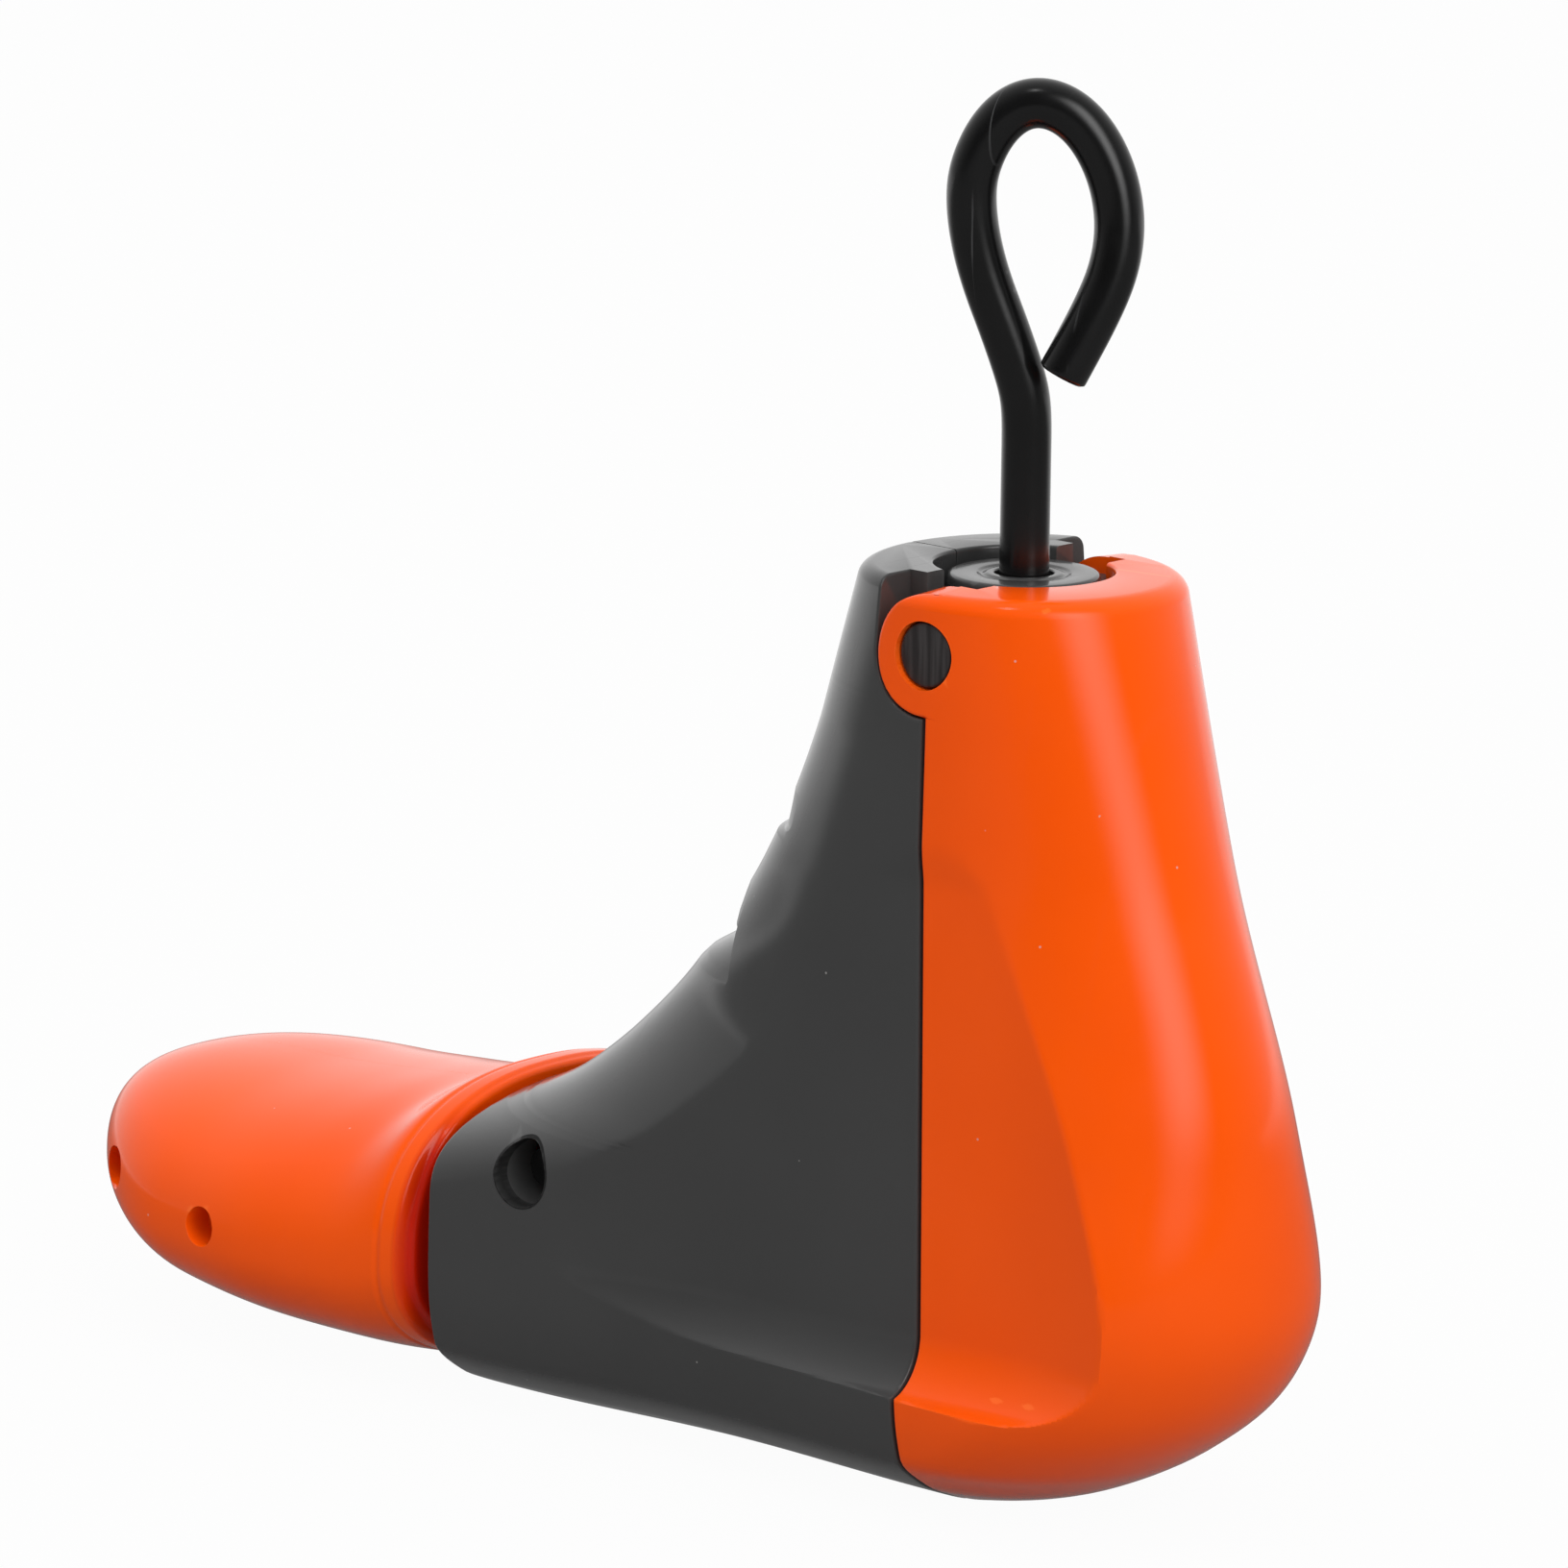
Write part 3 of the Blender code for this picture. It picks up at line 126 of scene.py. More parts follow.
# %% Curves through measured points
def through(pairs):
    """A curve through (place, size) pairs: cubic pieces that never overshoot.

    The slope at a pair is a weighted harmonic mean of the slopes on both sides, or level at a high or low
    point.
    """
    at, size = np.array(pairs, float).T
    step, rise = np.diff(at), np.diff(size) / np.diff(at)
    before, after = 2 * step[1:] + step[:-1], step[1:] + 2 * step[:-1]
    same = rise[:-1] * rise[1:] > 0
    first, second = np.where(same, rise[:-1], 1), np.where(same, rise[1:], 1)
    middle = np.where(same, (before + after) / (before / first + after / second), 0)
    slope = np.concatenate([rise[:1], middle, rise[-1:]])

    def curve(where):
        where = np.clip(where, at[0], at[-1])
        i = np.clip(np.searchsorted(at, where, side="right") - 1, 0, len(step) - 1)
        t = (where - at[i]) / step[i]
        ends = (1 + 2 * t) * (1 - t) ** 2 * size[i] + t * t * (3 - 2 * t) * size[i + 1]
        return ends + (t * (1 - t) ** 2 * slope[i] - t * t * (1 - t) * slope[i + 1]) * step[i]

    return curve


def softened(curve, low, high, width=3.0, keep=14.0):
    """The same curve averaged with a bell of the given width, but left alone over keep mm at its low end.

    Past its ends the curve runs on straight, so that the average has something to take in there.
    """
    where = np.arange(low - 8 * width, high + 8 * width, TABLE_STEP)
    inside = np.clip(where, low, high)
    slope = np.where(where < low, curve(low + 1) - curve(low), curve(high) - curve(high - 1))
    size = curve(inside) + (where - inside) * slope
    bell = np.exp(-0.5 * (np.arange(-4 * width, 4 * width + TABLE_STEP, TABLE_STEP) / width) ** 2)
    smooth = np.convolve(size, bell / bell.sum(), mode="same")
    share = ease((where - low - keep * 0.6) / (keep * 0.8)) if keep else 1.0
    table = size + (smooth - size) * share
    return lambda at: np.interp(at, where, table)


def ease(t):
    """The S-shaped step from 0 to 1: 3 t squared less 2 t cubed."""
    t = np.clip(t, 0, 1)
    return t * t * (3 - 2 * t)


def roll(depth, radius):
    """How far a rounded edge falls back at a distance from its border: a quarter circle."""
    short = np.clip(1 - depth / radius, 0, 1)
    return radius * (1 - np.sqrt(1 - short * short))


# %% Skins over rows of points
def circle(count):
    """Evenly spaced angles all round."""
    return np.arange(count) * 2 * np.pi / count


def grid(rows, columns, around=False):
    """Corner numbers of the quads between closed rows of points; the last row joins the first if around."""
    number = np.arange(rows * columns).reshape(rows, columns)
    number = np.concatenate([number, number[:, :1]], axis=1)
    if around:
        number = np.concatenate([number, number[:1]])
    low, high = number[:-1], number[1:]
    return np.stack([low[:, :-1], low[:, 1:], high[:, 1:], high[:, :-1]], -1).reshape(-1, 4)


def skin(name, points, faces):
    """A mesh object of points in millimetres round the spindle, merged, closed and facing outwards."""
    mesh = bpy.data.meshes.new(name)
    mesh.from_pydata((np.asarray(points, float).reshape(-1, 3) + (SPINDLE_X, 0, 0)) * 0.001, [], faces)
    work = bmesh.new()
    work.from_mesh(mesh)
    bmesh.ops.remove_doubles(work, verts=work.verts, dist=2e-6)
    bmesh.ops.dissolve_degenerate(work, edges=work.edges, dist=1e-6)
    bmesh.ops.recalc_face_normals(work, faces=work.faces)
    open_edges = sum(1 for edge in work.edges if not edge.is_manifold)
    work.to_mesh(mesh)
    work.free()
    made = bpy.data.objects.new(name, mesh)
    bpy.context.scene.collection.objects.link(made)
    print(f"{name}: {len(mesh.polygons)} faces, {open_edges} open edges")
    return made


def loft(name, points, around=False):
    """Skins rows of points; one flat face closes each end row, or the end rows join each other if around."""
    rows, columns = points.shape[:2]
    first = np.arange(columns)
    ends = [] if around else [first.tolist(), (first + (rows - 1) * columns).tolist()]
    return skin(name, points, grid(rows, columns, around).tolist() + ends)


# %% Turned shapes
def lathe(name, profile, centre, along="Z", count=64, solid=False):
    """A profile of (radius, place along the axis) swept round an axis: radius times cosine and sine.

    A hollow part has a closed profile; a solid one an open profile, whose two ends are closed by flat faces.
    """
    profile, turn = np.asarray(profile, float), circle(count)
    across, up = profile[:, :1] * np.cos(turn), profile[:, :1] * np.sin(turn)
    place = np.repeat(profile[:, 1:], count, axis=1)
    axes = (across, up, place) if along == "Z" else (across, place, up)
    return loft(name, np.stack(axes, -1) + centre, around=not solid)


def drum(name, radius, start, end, centre, count):
    """A plain cutting cylinder that lies across the tool."""
    return lathe(name, [(radius, start), (radius, end)], centre, "Y", count, solid=True)


# %% Cuts and shading
def settle(piece, cutters=(), sharp=32):
    """Cuts the cutters out of a piece, keeps the result as its mesh and shades it smooth but for its edges.

    Where two cut edges nearly meet, a cut can leave a pinhole a few hundredths wide, which is filled.
    """
    for cutter in cutters:
        step = piece.modifiers.new("cut", "BOOLEAN")
        step.operation, step.solver, step.object = "DIFFERENCE", "EXACT", cutter
    if cutters:
        bpy.context.view_layer.update()
        result = piece.evaluated_get(bpy.context.evaluated_depsgraph_get())
        piece.data = bpy.data.meshes.new_from_object(result)
        piece.modifiers.clear()
        for cutter in cutters:
            bpy.data.objects.remove(cutter)
        work = bmesh.new()
        work.from_mesh(piece.data)
        bmesh.ops.holes_fill(work, edges=[edge for edge in work.edges if edge.is_boundary], sides=0)
        work.to_mesh(piece.data)
        work.free()
    piece.data.name = piece.name
    piece.data.shade_smooth()
    piece.data.set_sharp_from_angle(angle=math.radians(sharp))
    return piece


# %% The curves of the foot
ridge, back = softened(through(RIDGE), 0, BODY_TOP), softened(through(BACK), 0, BODY_TOP)
half_width = softened(through(HALF_WIDTH), 0, BODY_TOP)
panel = softened(through(PANEL), -50, 80, 3.0, 0)
tail = softened(through(TAIL), 0, BODY_TOP, 5.0, 0)
nose = softened(through(NOSE), 40, BODY_TOP, 4.0, 0)
print("half width at 60 mm:", round(float(half_width(60.0)), 2))


# %% [markdown]
# ## The foot's outer form
#
# Body and heel are one flowing form that the parting line cuts in two.  It could be sculpted or built
# from subdivision patches; here it is a function, because a moulding is designed from sections.  At
# each height the plan is a rounded back, a flank that swells to the ball and a rounded ridge, and a
# flat panel on each side takes the bulge off the flank.

# %% The plan outline at any height
def seam_x(z):
    """The parting line: a straight line from the floor to the pivot."""
    return SEAM_FOOT_X + (SEAM_TOP_X - SEAM_FOOT_X) * z / PIVOT_Z


def plan(z, inset, count=720):
    """Left half of the plan outlines at heights z: a quarter ellipse, a flank and a quarter superellipse.

    All of it lies an inset further in.  The front quarter is squarer low down, so that the flank stays flat
    until near the ridge.  The side is the smaller of the flank and the panel, joined by a rounded corner: a
    smooth minimum.  Below the panel a quarter circle climbs back to the flank, which makes the ledge.
    """
    z, inset = np.asarray(z, float)[:, None], np.asarray(inset, float)[:, None]
    front, rear, half = ridge(z), back(z), half_width(z)
    nose_length, tail_length = np.minimum(nose(z), front), np.minimum(tail(z), rear)
    bend = np.linspace(0, np.pi / 2, count // 3)[None]
    straight = np.linspace(0, 1, count - 2 * (count // 3) + 2)[None, 1:-1]
    tail_end, nose_start = -(rear - tail_length), front - nose_length
    square = 2 / np.interp(z, *np.array(NOSE_POWER).T)
    x = np.concatenate([tail_end - (tail_length - inset) * np.cos(bend),
                        tail_end + (nose_start - tail_end) * straight,
                        nose_start + (nose_length - inset) * np.sin(bend) ** square], axis=1)
    flat = np.ones((len(z), straight.shape[1]))
    close = np.concatenate([np.sin(bend) + 0 * z, flat, np.cos(bend) ** square], axis=1)
    swell = SWELL * ease((x + 10) / 100)
    waist = WAIST * np.sin(np.pi * np.clip(x / OPENING_X, 0, 1)) ** 2 * np.clip(1 - z / WAIST_TOP, 0, 1)
    flank = (half + swell - waist - inset) * close
    steep = np.clip((LEDGE_TOP - z) / LEDGE_HEIGHT, 0, 1)
    climb = LEDGE_DEPTH * (1 - np.sqrt(1 - steep ** 2)) + PANEL_DRAFT * np.clip(z - DRAFT_FROM, 0, None)
    flat_side = panel(x) + climb - inset
    blend = np.clip(PANEL_SOFT - np.abs(flank - flat_side), 0, None) / PANEL_SOFT
    return x, np.minimum(flank, flat_side) - blend * blend * PANEL_SOFT / 4


# %% Points along an outline, and heights for the sections
def walk(z, inset, start_x, stop_x, share):
    """Points along the plan outlines between two x places, at the given shares of the length between them.

    The loop takes one outline at a time, all its points at once, since each outline has a length of its own.
    """
    x, y = plan(z, inset)
    run = np.cumsum(np.hypot(np.diff(x), np.diff(y)), axis=1)
    length = np.concatenate([np.zeros((len(x), 1)), run], axis=1)
    found = np.empty((2, len(x), len(share)))
    for row in range(len(x)):
        begin = np.interp(start_x[row], x[row], length[row])
        finish = min(np.interp(stop_x[row], x[row], length[row]), length[row, -1] - MEDIAN)
        at = begin + (finish - begin) * share
        found[0, row] = np.interp(at, length[row], x[row])
        found[1, row] = np.interp(at, length[row], y[row])
    return found[0], found[1]


def crowded(count, near_start=True, near_end=True, length=100.0):
    """Shares from 0 to 1 that crowd at the ends, where the edges round off within tenths of a millimetre."""
    edge = np.array([0, 0.04, 0.09, 0.16, 0.26, 0.4, 0.7, 1.1, 1.6, 2.2]) / length
    low = edge if near_start else np.zeros(1)
    high = 1 - edge[::-1] if near_end else np.ones(1)
    middle = np.linspace(low[-1], high[0], count - len(low) - len(high) + 2)[1:-1]
    return np.concatenate([low, middle, high])


def heights(top, radius, extra):
    """Heights of the sections: close at the sole, the ledge and the top's rounding, 1.1 mm apart between."""
    foot = [0, 0.2, 0.45, 0.75, 1.1, 1.5, 2, 2.5, SOLE_WALL - 0.01, SOLE_WALL, 3.6, 4.3, 5, 5.8, 6.7, 7.6]
    turn = np.linspace(0, np.pi / 2, 10)
    fillet = top - radius + radius * np.sin(turn)
    ledge = np.arange(16.05, 29.2, 0.275)
    between = np.arange(8.5, top - radius - 0.4, 1.1)
    return np.unique(np.round(np.concatenate([foot, between, ledge, fillet, extra]), 4))


sample_x, sample_y = plan(np.array([30.0, 100.0]), np.zeros(2))
flanks = [round(float(np.interp(0, a, b)), 2) for a, b in zip(sample_x, sample_y)]
print("flank at x = 0, z = 30 and 100:", flanks)

# %% [markdown]
# ## The grey body, two halves
#
# On the real tool two grey shells are screwed together on the middle plane.  Each has a thin wall, a
# solid sole, a thick ring round the swivel block, and a round pocket on the flank for the heel's ear.
# A shell could be a surface with a Solidify modifier, but its wall, ring and ledge differ in thickness,
# so every section here is one closed loop: along the outside, across the end, back along the inside and
# across the other end.  Edges fall back by a quarter circle near their borders, which is where the
# light catches a real moulding.


# %% Sections of a body half
POCKET_ROWS = np.array([-0.6, -0.3, -0.15, -0.05, 0.02, 0.08, 0.2, 0.4, 0.7, 1.1, 1.6])  # from its foot
BODY_ROWS = [46.9, 47.5, 48.0, 48.6, 77.2, 77.6, 94.0, RING_FLOOR, 125.0, 125.2, 125.6, 132.0, 132.02,
             138.4, 138.8, 139.01]  # further sections, over the mouth, at the steps and round the pivot
THICKER, THICK_FROM, THICK_TO, THICK_RAMP = 3.4, 69, 108, 6  # the wall behind the steps in the ridge
LUG_RADIUS = 7.0


def pocket_x(z):
    """Front border of the ear's pocket: the seam, then a circle round the pivot, then straight up."""
    reach = np.sqrt(np.clip(POCKET_RADIUS ** 2 - (z - PIVOT_Z) ** 2, 0, None))
    disc = np.where(np.abs(z - PIVOT_Z) < POCKET_RADIUS, PIVOT_X + reach, -50)
    return np.maximum(seam_x(z), np.where(z > PIVOT_Z, PIVOT_X + POCKET_RADIUS, disc))


def ledge_x(z):
    """Where the web inside the ear ends: the seam, then the ring's end, but round the pivot's lug."""
    reach = np.sqrt(np.clip(LUG_RADIUS ** 2 - (z - PIVOT_Z) ** 2, 0, None))
    lug = np.where(np.abs(z - PIVOT_Z) < LUG_RADIUS, PIVOT_X - reach, 50)
    return np.minimum(np.where(z > PIVOT_Z, RING_END_X, seam_x(z)), lug)


# %% The closed loops of a body half
def body_loops(side):
    """Closed sections of one half at all heights, as an array of rows, points and coordinates.

    Outside: the plan from the seam to the mouth, where each point moves in by the roll of its distance from
    the border.  Inside: the plan a wall further in, which turns into the ring's bore where the ring begins.
    A cap joins the two at the mouth, and a corner at the seam, which leaves the ledge of the ear's pocket.
    """
    z = heights(BODY_TOP, 2.0, np.concatenate([PIVOT_Z - POCKET_RADIUS + POCKET_ROWS, BODY_ROWS]))
    top_inset = roll(BODY_TOP - z, 2.0)
    border, stop = pocket_x(z) + roll(BODY_TOP - z, 0.3), np.full(len(z), OPENING_X)
    x, y = walk(z, top_inset, border, stop, crowded(104, length=80))
    tall = z[:, None] + 0 * x
    pocket = np.where(tall < PIVOT_Z, np.hypot(x - PIVOT_X, tall - PIVOT_Z) - POCKET_RADIUS,
                      x - PIVOT_X - POCKET_RADIUS)
    depth = np.minimum(x - seam_x(tall), pocket)
    y = y - roll(np.minimum(depth, OPENING_X - x), EDGE)
    y_top = np.maximum(y, MEDIAN)
    near_ridge = np.where(tall > 46.5, y_top - MEDIAN, 9.0)  # lower down the mouth is open: no ridge there
    x = x - roll(near_ridge, 0.4)

    even = np.linspace(0, 1, x.shape[1])
    low_z = np.minimum(z, RING_FOOT)
    wall = WALL + THICKER * ease((z - THICK_FROM) / THICK_RAMP) * ease((THICK_TO - z) / THICK_RAMP)
    in_x, in_y = walk(low_z, wall, seam_x(low_z), stop, even)
    start = ledge_x(z)
    bore = BORE_RADIUS + roll(BODY_TOP - z, 0.5)
    first = np.arccos(np.clip(start / bore, -1, 1))
    last = np.arcsin(MEDIAN / bore)
    turn = first[:, None] + (last - first)[:, None] * even
    share = np.clip((z - RING_FOOT) / (RING_FLOOR - RING_FOOT), 0, 1)[:, None]
    in_x = in_x * (1 - share) + bore[:, None] * np.cos(turn) * share
    in_y = np.maximum(in_y * (1 - share) + bore[:, None] * np.sin(turn) * share, MEDIAN)
    solid = (z < SOLE_WALL)[:, None]
    in_x = np.where(solid, seam_x(z)[:, None] + (OPENING_X - seam_x(z))[:, None] * even, in_x)
    in_y = np.where(solid, MEDIAN, in_y)

    front = np.linspace(0, 1, 8)[None, 1:-1]
    cap_x = x[:, -1:] + (in_x[:, -1:] - x[:, -1:]) * front
    cap_y = y_top[:, -1:] + (in_y[:, -1:] - y_top[:, -1:]) * front
    ledge = np.clip(POCKET_LEDGE, in_y[:, :1], y_top[:, :1])
    third = np.linspace(0, 1, 4)[None, 1:]
    corner_x = np.concatenate([in_x[:, :1] + 0 * third, in_x[:, :1] + (x[:, :1] - in_x[:, :1]) * third,
                               x[:, :1] + 0 * third[:, :-1]], axis=1)
    corner_y = np.concatenate([in_y[:, :1] + (ledge - in_y[:, :1]) * third, ledge + 0 * third,
                               ledge + (y_top[:, :1] - ledge) * third[:, :-1]], axis=1)
    loop_x = np.concatenate([x, cap_x, in_x[:, ::-1], corner_x], axis=1)
    loop_y = np.concatenate([y_top, cap_y, in_y[:, ::-1], corner_y], axis=1)
    return np.stack([loop_x, side * loop_y, z[:, None] + 0 * loop_x], -1)


# %% [markdown]
# ## Holes, steps and bosses of the body
#
# The ridge's two steps could be bent into the sections, but their upright edges would need many more
# rows.  So they are cut, like the round holes: a cutter follows the outline moved back by a depth that
# depends on height.  Each hole gets a boss behind it, a tube that runs into the wall.

# %% Bosses behind the holes
CROSS = (72.0, 40.7)  # the cross pin, seen through the access holes
SCREWS = [(20.0, 112.0), (40.0, 72.0), (60.0, 17.0), (24.0, 17.0)]
SINK_RADIUS, TAP_RADIUS, BOSS_RADIUS, SEAT_DEPTH = 3.6, 2.05, 5.7, 10.0
HOLE_RADIUS, FLARE_RADIUS, HOLE_WALL = 5.1, 5.6, (5.15, 7.5, 24.8)  # the wall: bore, outside and inner end
STEP_FILLET = 1.6
STEPS = [  # pairs of height and depth, and where the step's border runs
    ([(73.2, -0.3), (75.2, 0), (77.2, 0.6), (79, 2.3), (80.3, 3.6), (81.6, 3.7), (82.3, 3.1), (82.9, 2.2),
      (85, 1.3), (88, 0.4), (91, -0.3)], 37.2),
    ([(98.6, -0.1), (99.3, 1.2), (100.2, 1.4), (107, -0.3)], 26.6)]


def flank_y(x, z):
    """Distance of the outer surface from the middle plane at points (x, z)."""
    x, z = np.atleast_1d(x), np.atleast_1d(z)
    plan_x, plan_y = plan(z, np.zeros(len(z)))
    return np.array([np.interp(a, b, c) for a, b, c in zip(x, plan_x, plan_y)])


def sleeve(place, inner, outer, near, side, seat=None, count=40):
    """A boss inside a shell: a tube across it, whose far end follows the wall's middle all round.

    With a seat, the bore has the seat's radius near the middle plane and changes to its own at SEAT_DEPTH.
    """
    turn, rings = circle(count), []
    shoulder = [(seat, "step"), (inner, "step")] if seat else []
    for radius, end in [(outer, "far"), (outer, "near"), (seat or inner, "near"), *shoulder, (inner, "far")]:
        x, z = place[0] + radius * np.cos(turn), place[1] + radius * np.sin(turn)
        wall = flank_y(x, z) - WALL / 2
        y = {"far": wall, "near": np.minimum(near, wall - 0.5), "step": np.full(count, SEAT_DEPTH)}[end]
        rings.append(np.stack([x, side * y, z], -1))
    return loft("boss", np.stack(rings), around=True)


def add_shell(piece, extra):
    """Adds one more closed shell to a finished mesh."""
    work = bmesh.new()
    work.from_mesh(piece.data)
    work.from_mesh(extra.data)
    work.to_mesh(piece.data)
    work.free()
    bpy.data.objects.remove(extra)


# %% Cutters for the holes and the steps
def access_cutter(side):
    """The access hole: a cylinder that flares by half a millimetre at the outer wall."""
    wall = float(flank_y(*CROSS)[0])
    profile = np.array([(HOLE_RADIUS, 25), (HOLE_RADIUS, wall - 0.9), (FLARE_RADIUS, wall + 1.6),
                        (FLARE_RADIUS, wall + 9)]) * (1, side)
    return lathe("access_cutter", profile, (CROSS[0], 0, CROSS[1]), "Y", 96, solid=True)


def step_cutter(depths, border):
    """A step in the ridge: all that lies outside the outline moved back by a depth, in front of a border.

    The floor at height z is the outline y(x + depth(z)).  The border is rounded at its foot, so that the
    flank keeps a crisp upright edge there.
    """
    at, size = np.array(depths, float).T
    z = np.linspace(at[0], at[-1], 60)
    depth = np.interp(z, at, size)
    edge = border + roll(z - z[0] - STEP_FILLET, STEP_FILLET)
    outline_x, outline_y = plan(z, np.zeros(len(z)))
    share = np.linspace(0, 1, 40)
    rows = []
    for row in range(len(z)):
        x = edge[row] + (outline_x[row, -1] - depth[row] - edge[row]) * np.sin(share * np.pi / 2)
        y = np.interp(x + depth[row], outline_x[row], outline_y[row])
        y[-1] = 0.0
        floor = np.concatenate([np.stack([x, y], -1), np.stack([x, -y], -1)[-2::-1]])
        around = [(edge[row], -50), (130, -50), (130, 50), (edge[row], 50)]  # well outside the body
        rows.append(np.concatenate([floor, around]))
    flat = np.array(rows)
    tall = np.repeat(z, flat.shape[1]).reshape(len(z), -1, 1)
    return loft("step_cutter", np.concatenate([flat, tall], axis=2))


def pivot_cutter():
    """The cross bore for both pivot pins."""
    return drum("pivot_cutter", PIN_BORE, -60, 60, (PIVOT_X, 0, PIVOT_Z), 80)


# %% Make the two body halves
for name, side in (("body_left", 1), ("body_right", -1)):
    piece = loft(name, body_loops(side))
    cutters = [pivot_cutter(), access_cutter(side)]
    if side < 0:  # the screws' heads sink into the right half, and their tips hold in the left half
        cutters += [drum("sink_cutter", SINK_RADIUS, -60, -10, (x, 0, z), 40) for x, z in SCREWS]
    settle(piece, cutters + [step_cutter(*step) for step in STEPS])
    for place in SCREWS:
        bore, seat = (SINK_RADIUS, TAP_RADIUS) if side < 0 else (TAP_RADIUS, None)
        add_shell(piece, sleeve(place, bore, BOSS_RADIUS, MEDIAN, side, seat))
    add_shell(piece, sleeve(CROSS, *HOLE_WALL, side))
    settle(piece)
    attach(piece, "body")
    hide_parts("body_shell_" + ("left" if side > 0 else "right"))
    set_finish(piece, "grey")
    print(name, "has", len(piece.data.polygons), "faces")

# %% [markdown]
# ## The orange heel
#
# The real heel is one cup-shaped moulding.  Its front edge follows the parting line, then swells into a
# round ear over each pivot pin.  It is made like the body halves, from closed sections, but each
# section is a whole horseshoe.  The edge distance that rounds the border is that of a strip and a disc
# joined, so the round edge runs on from the seam into the ear without a corner.


# %% Sections of the heel
EAR_ROWS = np.array([-0.5, -0.25, -0.12, -0.04, 0.02, 0.08, 0.18, 0.35, 0.6, 0.95, 1.5, 2.2])  # from its foot
CROWN_FROM, CROWN_HEIGHT, CROWN_SINK = 134, 0.35, 0.15  # the top rises a little from its rim to the bore


def ear_x(z):
    """Front border of the heel: the seam less its gap, and the ear's circle round the pivot."""
    reach = np.sqrt(np.clip(EAR_RADIUS ** 2 - (z - PIVOT_Z) ** 2, 0, None))
    return np.maximum(seam_x(np.minimum(z, PIVOT_Z)) - SEAM_GAP,
                      np.where(np.abs(z - PIVOT_Z) < EAR_RADIUS, PIVOT_X + reach, -50))


def heel_half():
    """Left half of the heel's sections: outside and inside, from the back's middle to the front border.

    The inside follows the plan low down, and higher up the bore, a step outwards and the ear's inner face.
    """
    extra = np.concatenate([PIVOT_Z - EAR_RADIUS + EAR_ROWS, PIVOT_Z + EAR_RADIUS - EAR_ROWS[4:],
                            [109.7, RING_FOOT, RING_FLOOR, 125, 132]])
    extra = extra[extra < HEEL_TOP]
    z = heights(HEEL_TOP, 2.5, extra)
    inset = roll(HEEL_TOP - z, 2.5)
    start, border = np.full(len(z), -80.0), ear_x(z)
    share = crowded(96, near_start=False, length=75)
    x, y = walk(z, inset, start, border, share)
    tall = z[:, None] + 0 * x
    disc = EAR_RADIUS - np.hypot(x - PIVOT_X, tall - PIVOT_Z)
    strip = seam_x(np.minimum(tall, PIVOT_Z)) - SEAM_GAP - x
    y = np.clip(y - roll(np.clip(np.maximum(strip, disc), 0, None), EDGE), 0, None)

    count = x.shape[1]
    even = np.linspace(0, 1, count)
    low_z = np.minimum(z, RING_FOOT)
    low_x, low_y = walk(low_z, np.full(len(z), WALL), start, seam_x(low_z) - SEAM_GAP, even)
    bore = BORE_RADIUS + roll(HEEL_TOP - z, 0.6)
    bend = int(count * 0.6)
    turn = np.linspace(0, 1, bend) * np.arccos(-HEEL_RING_X / bore)[:, None]
    ring_x, ring_y = -bore[:, None] * np.cos(turn), bore[:, None] * np.sin(turn)
    step = np.linspace(0, 1, 6)[None, 1:]
    step_y = ring_y[:, -1:] + (EAR_INNER - ring_y[:, -1:]) * step
    run = np.linspace(0, 1, count - bend - 5 + 1)[None, 1:]
    run_x = HEEL_RING_X + (border[:, None] - HEEL_RING_X) * run
    high_x = np.concatenate([ring_x, HEEL_RING_X + 0 * step_y, run_x], axis=1)
    high_y = np.concatenate([ring_y, step_y, EAR_INNER + 0 * run_x], axis=1)
    mix = np.clip((z - RING_FOOT) / (RING_FLOOR - RING_FOOT), 0, 1)[:, None]
    in_x, in_y = low_x * (1 - mix) + high_x * mix, low_y * (1 - mix) + high_y * mix
    solid = (z < SOLE_WALL)[:, None]
    in_x = np.where(solid, border[:, None], in_x)
    in_y = np.where(solid, y[:, -1:] * even, in_y)
    crown = CROWN_HEIGHT * ease((z - CROWN_FROM) / (HEEL_TOP - CROWN_FROM))[:, None]
    return z, x, y, in_x, in_y, crown


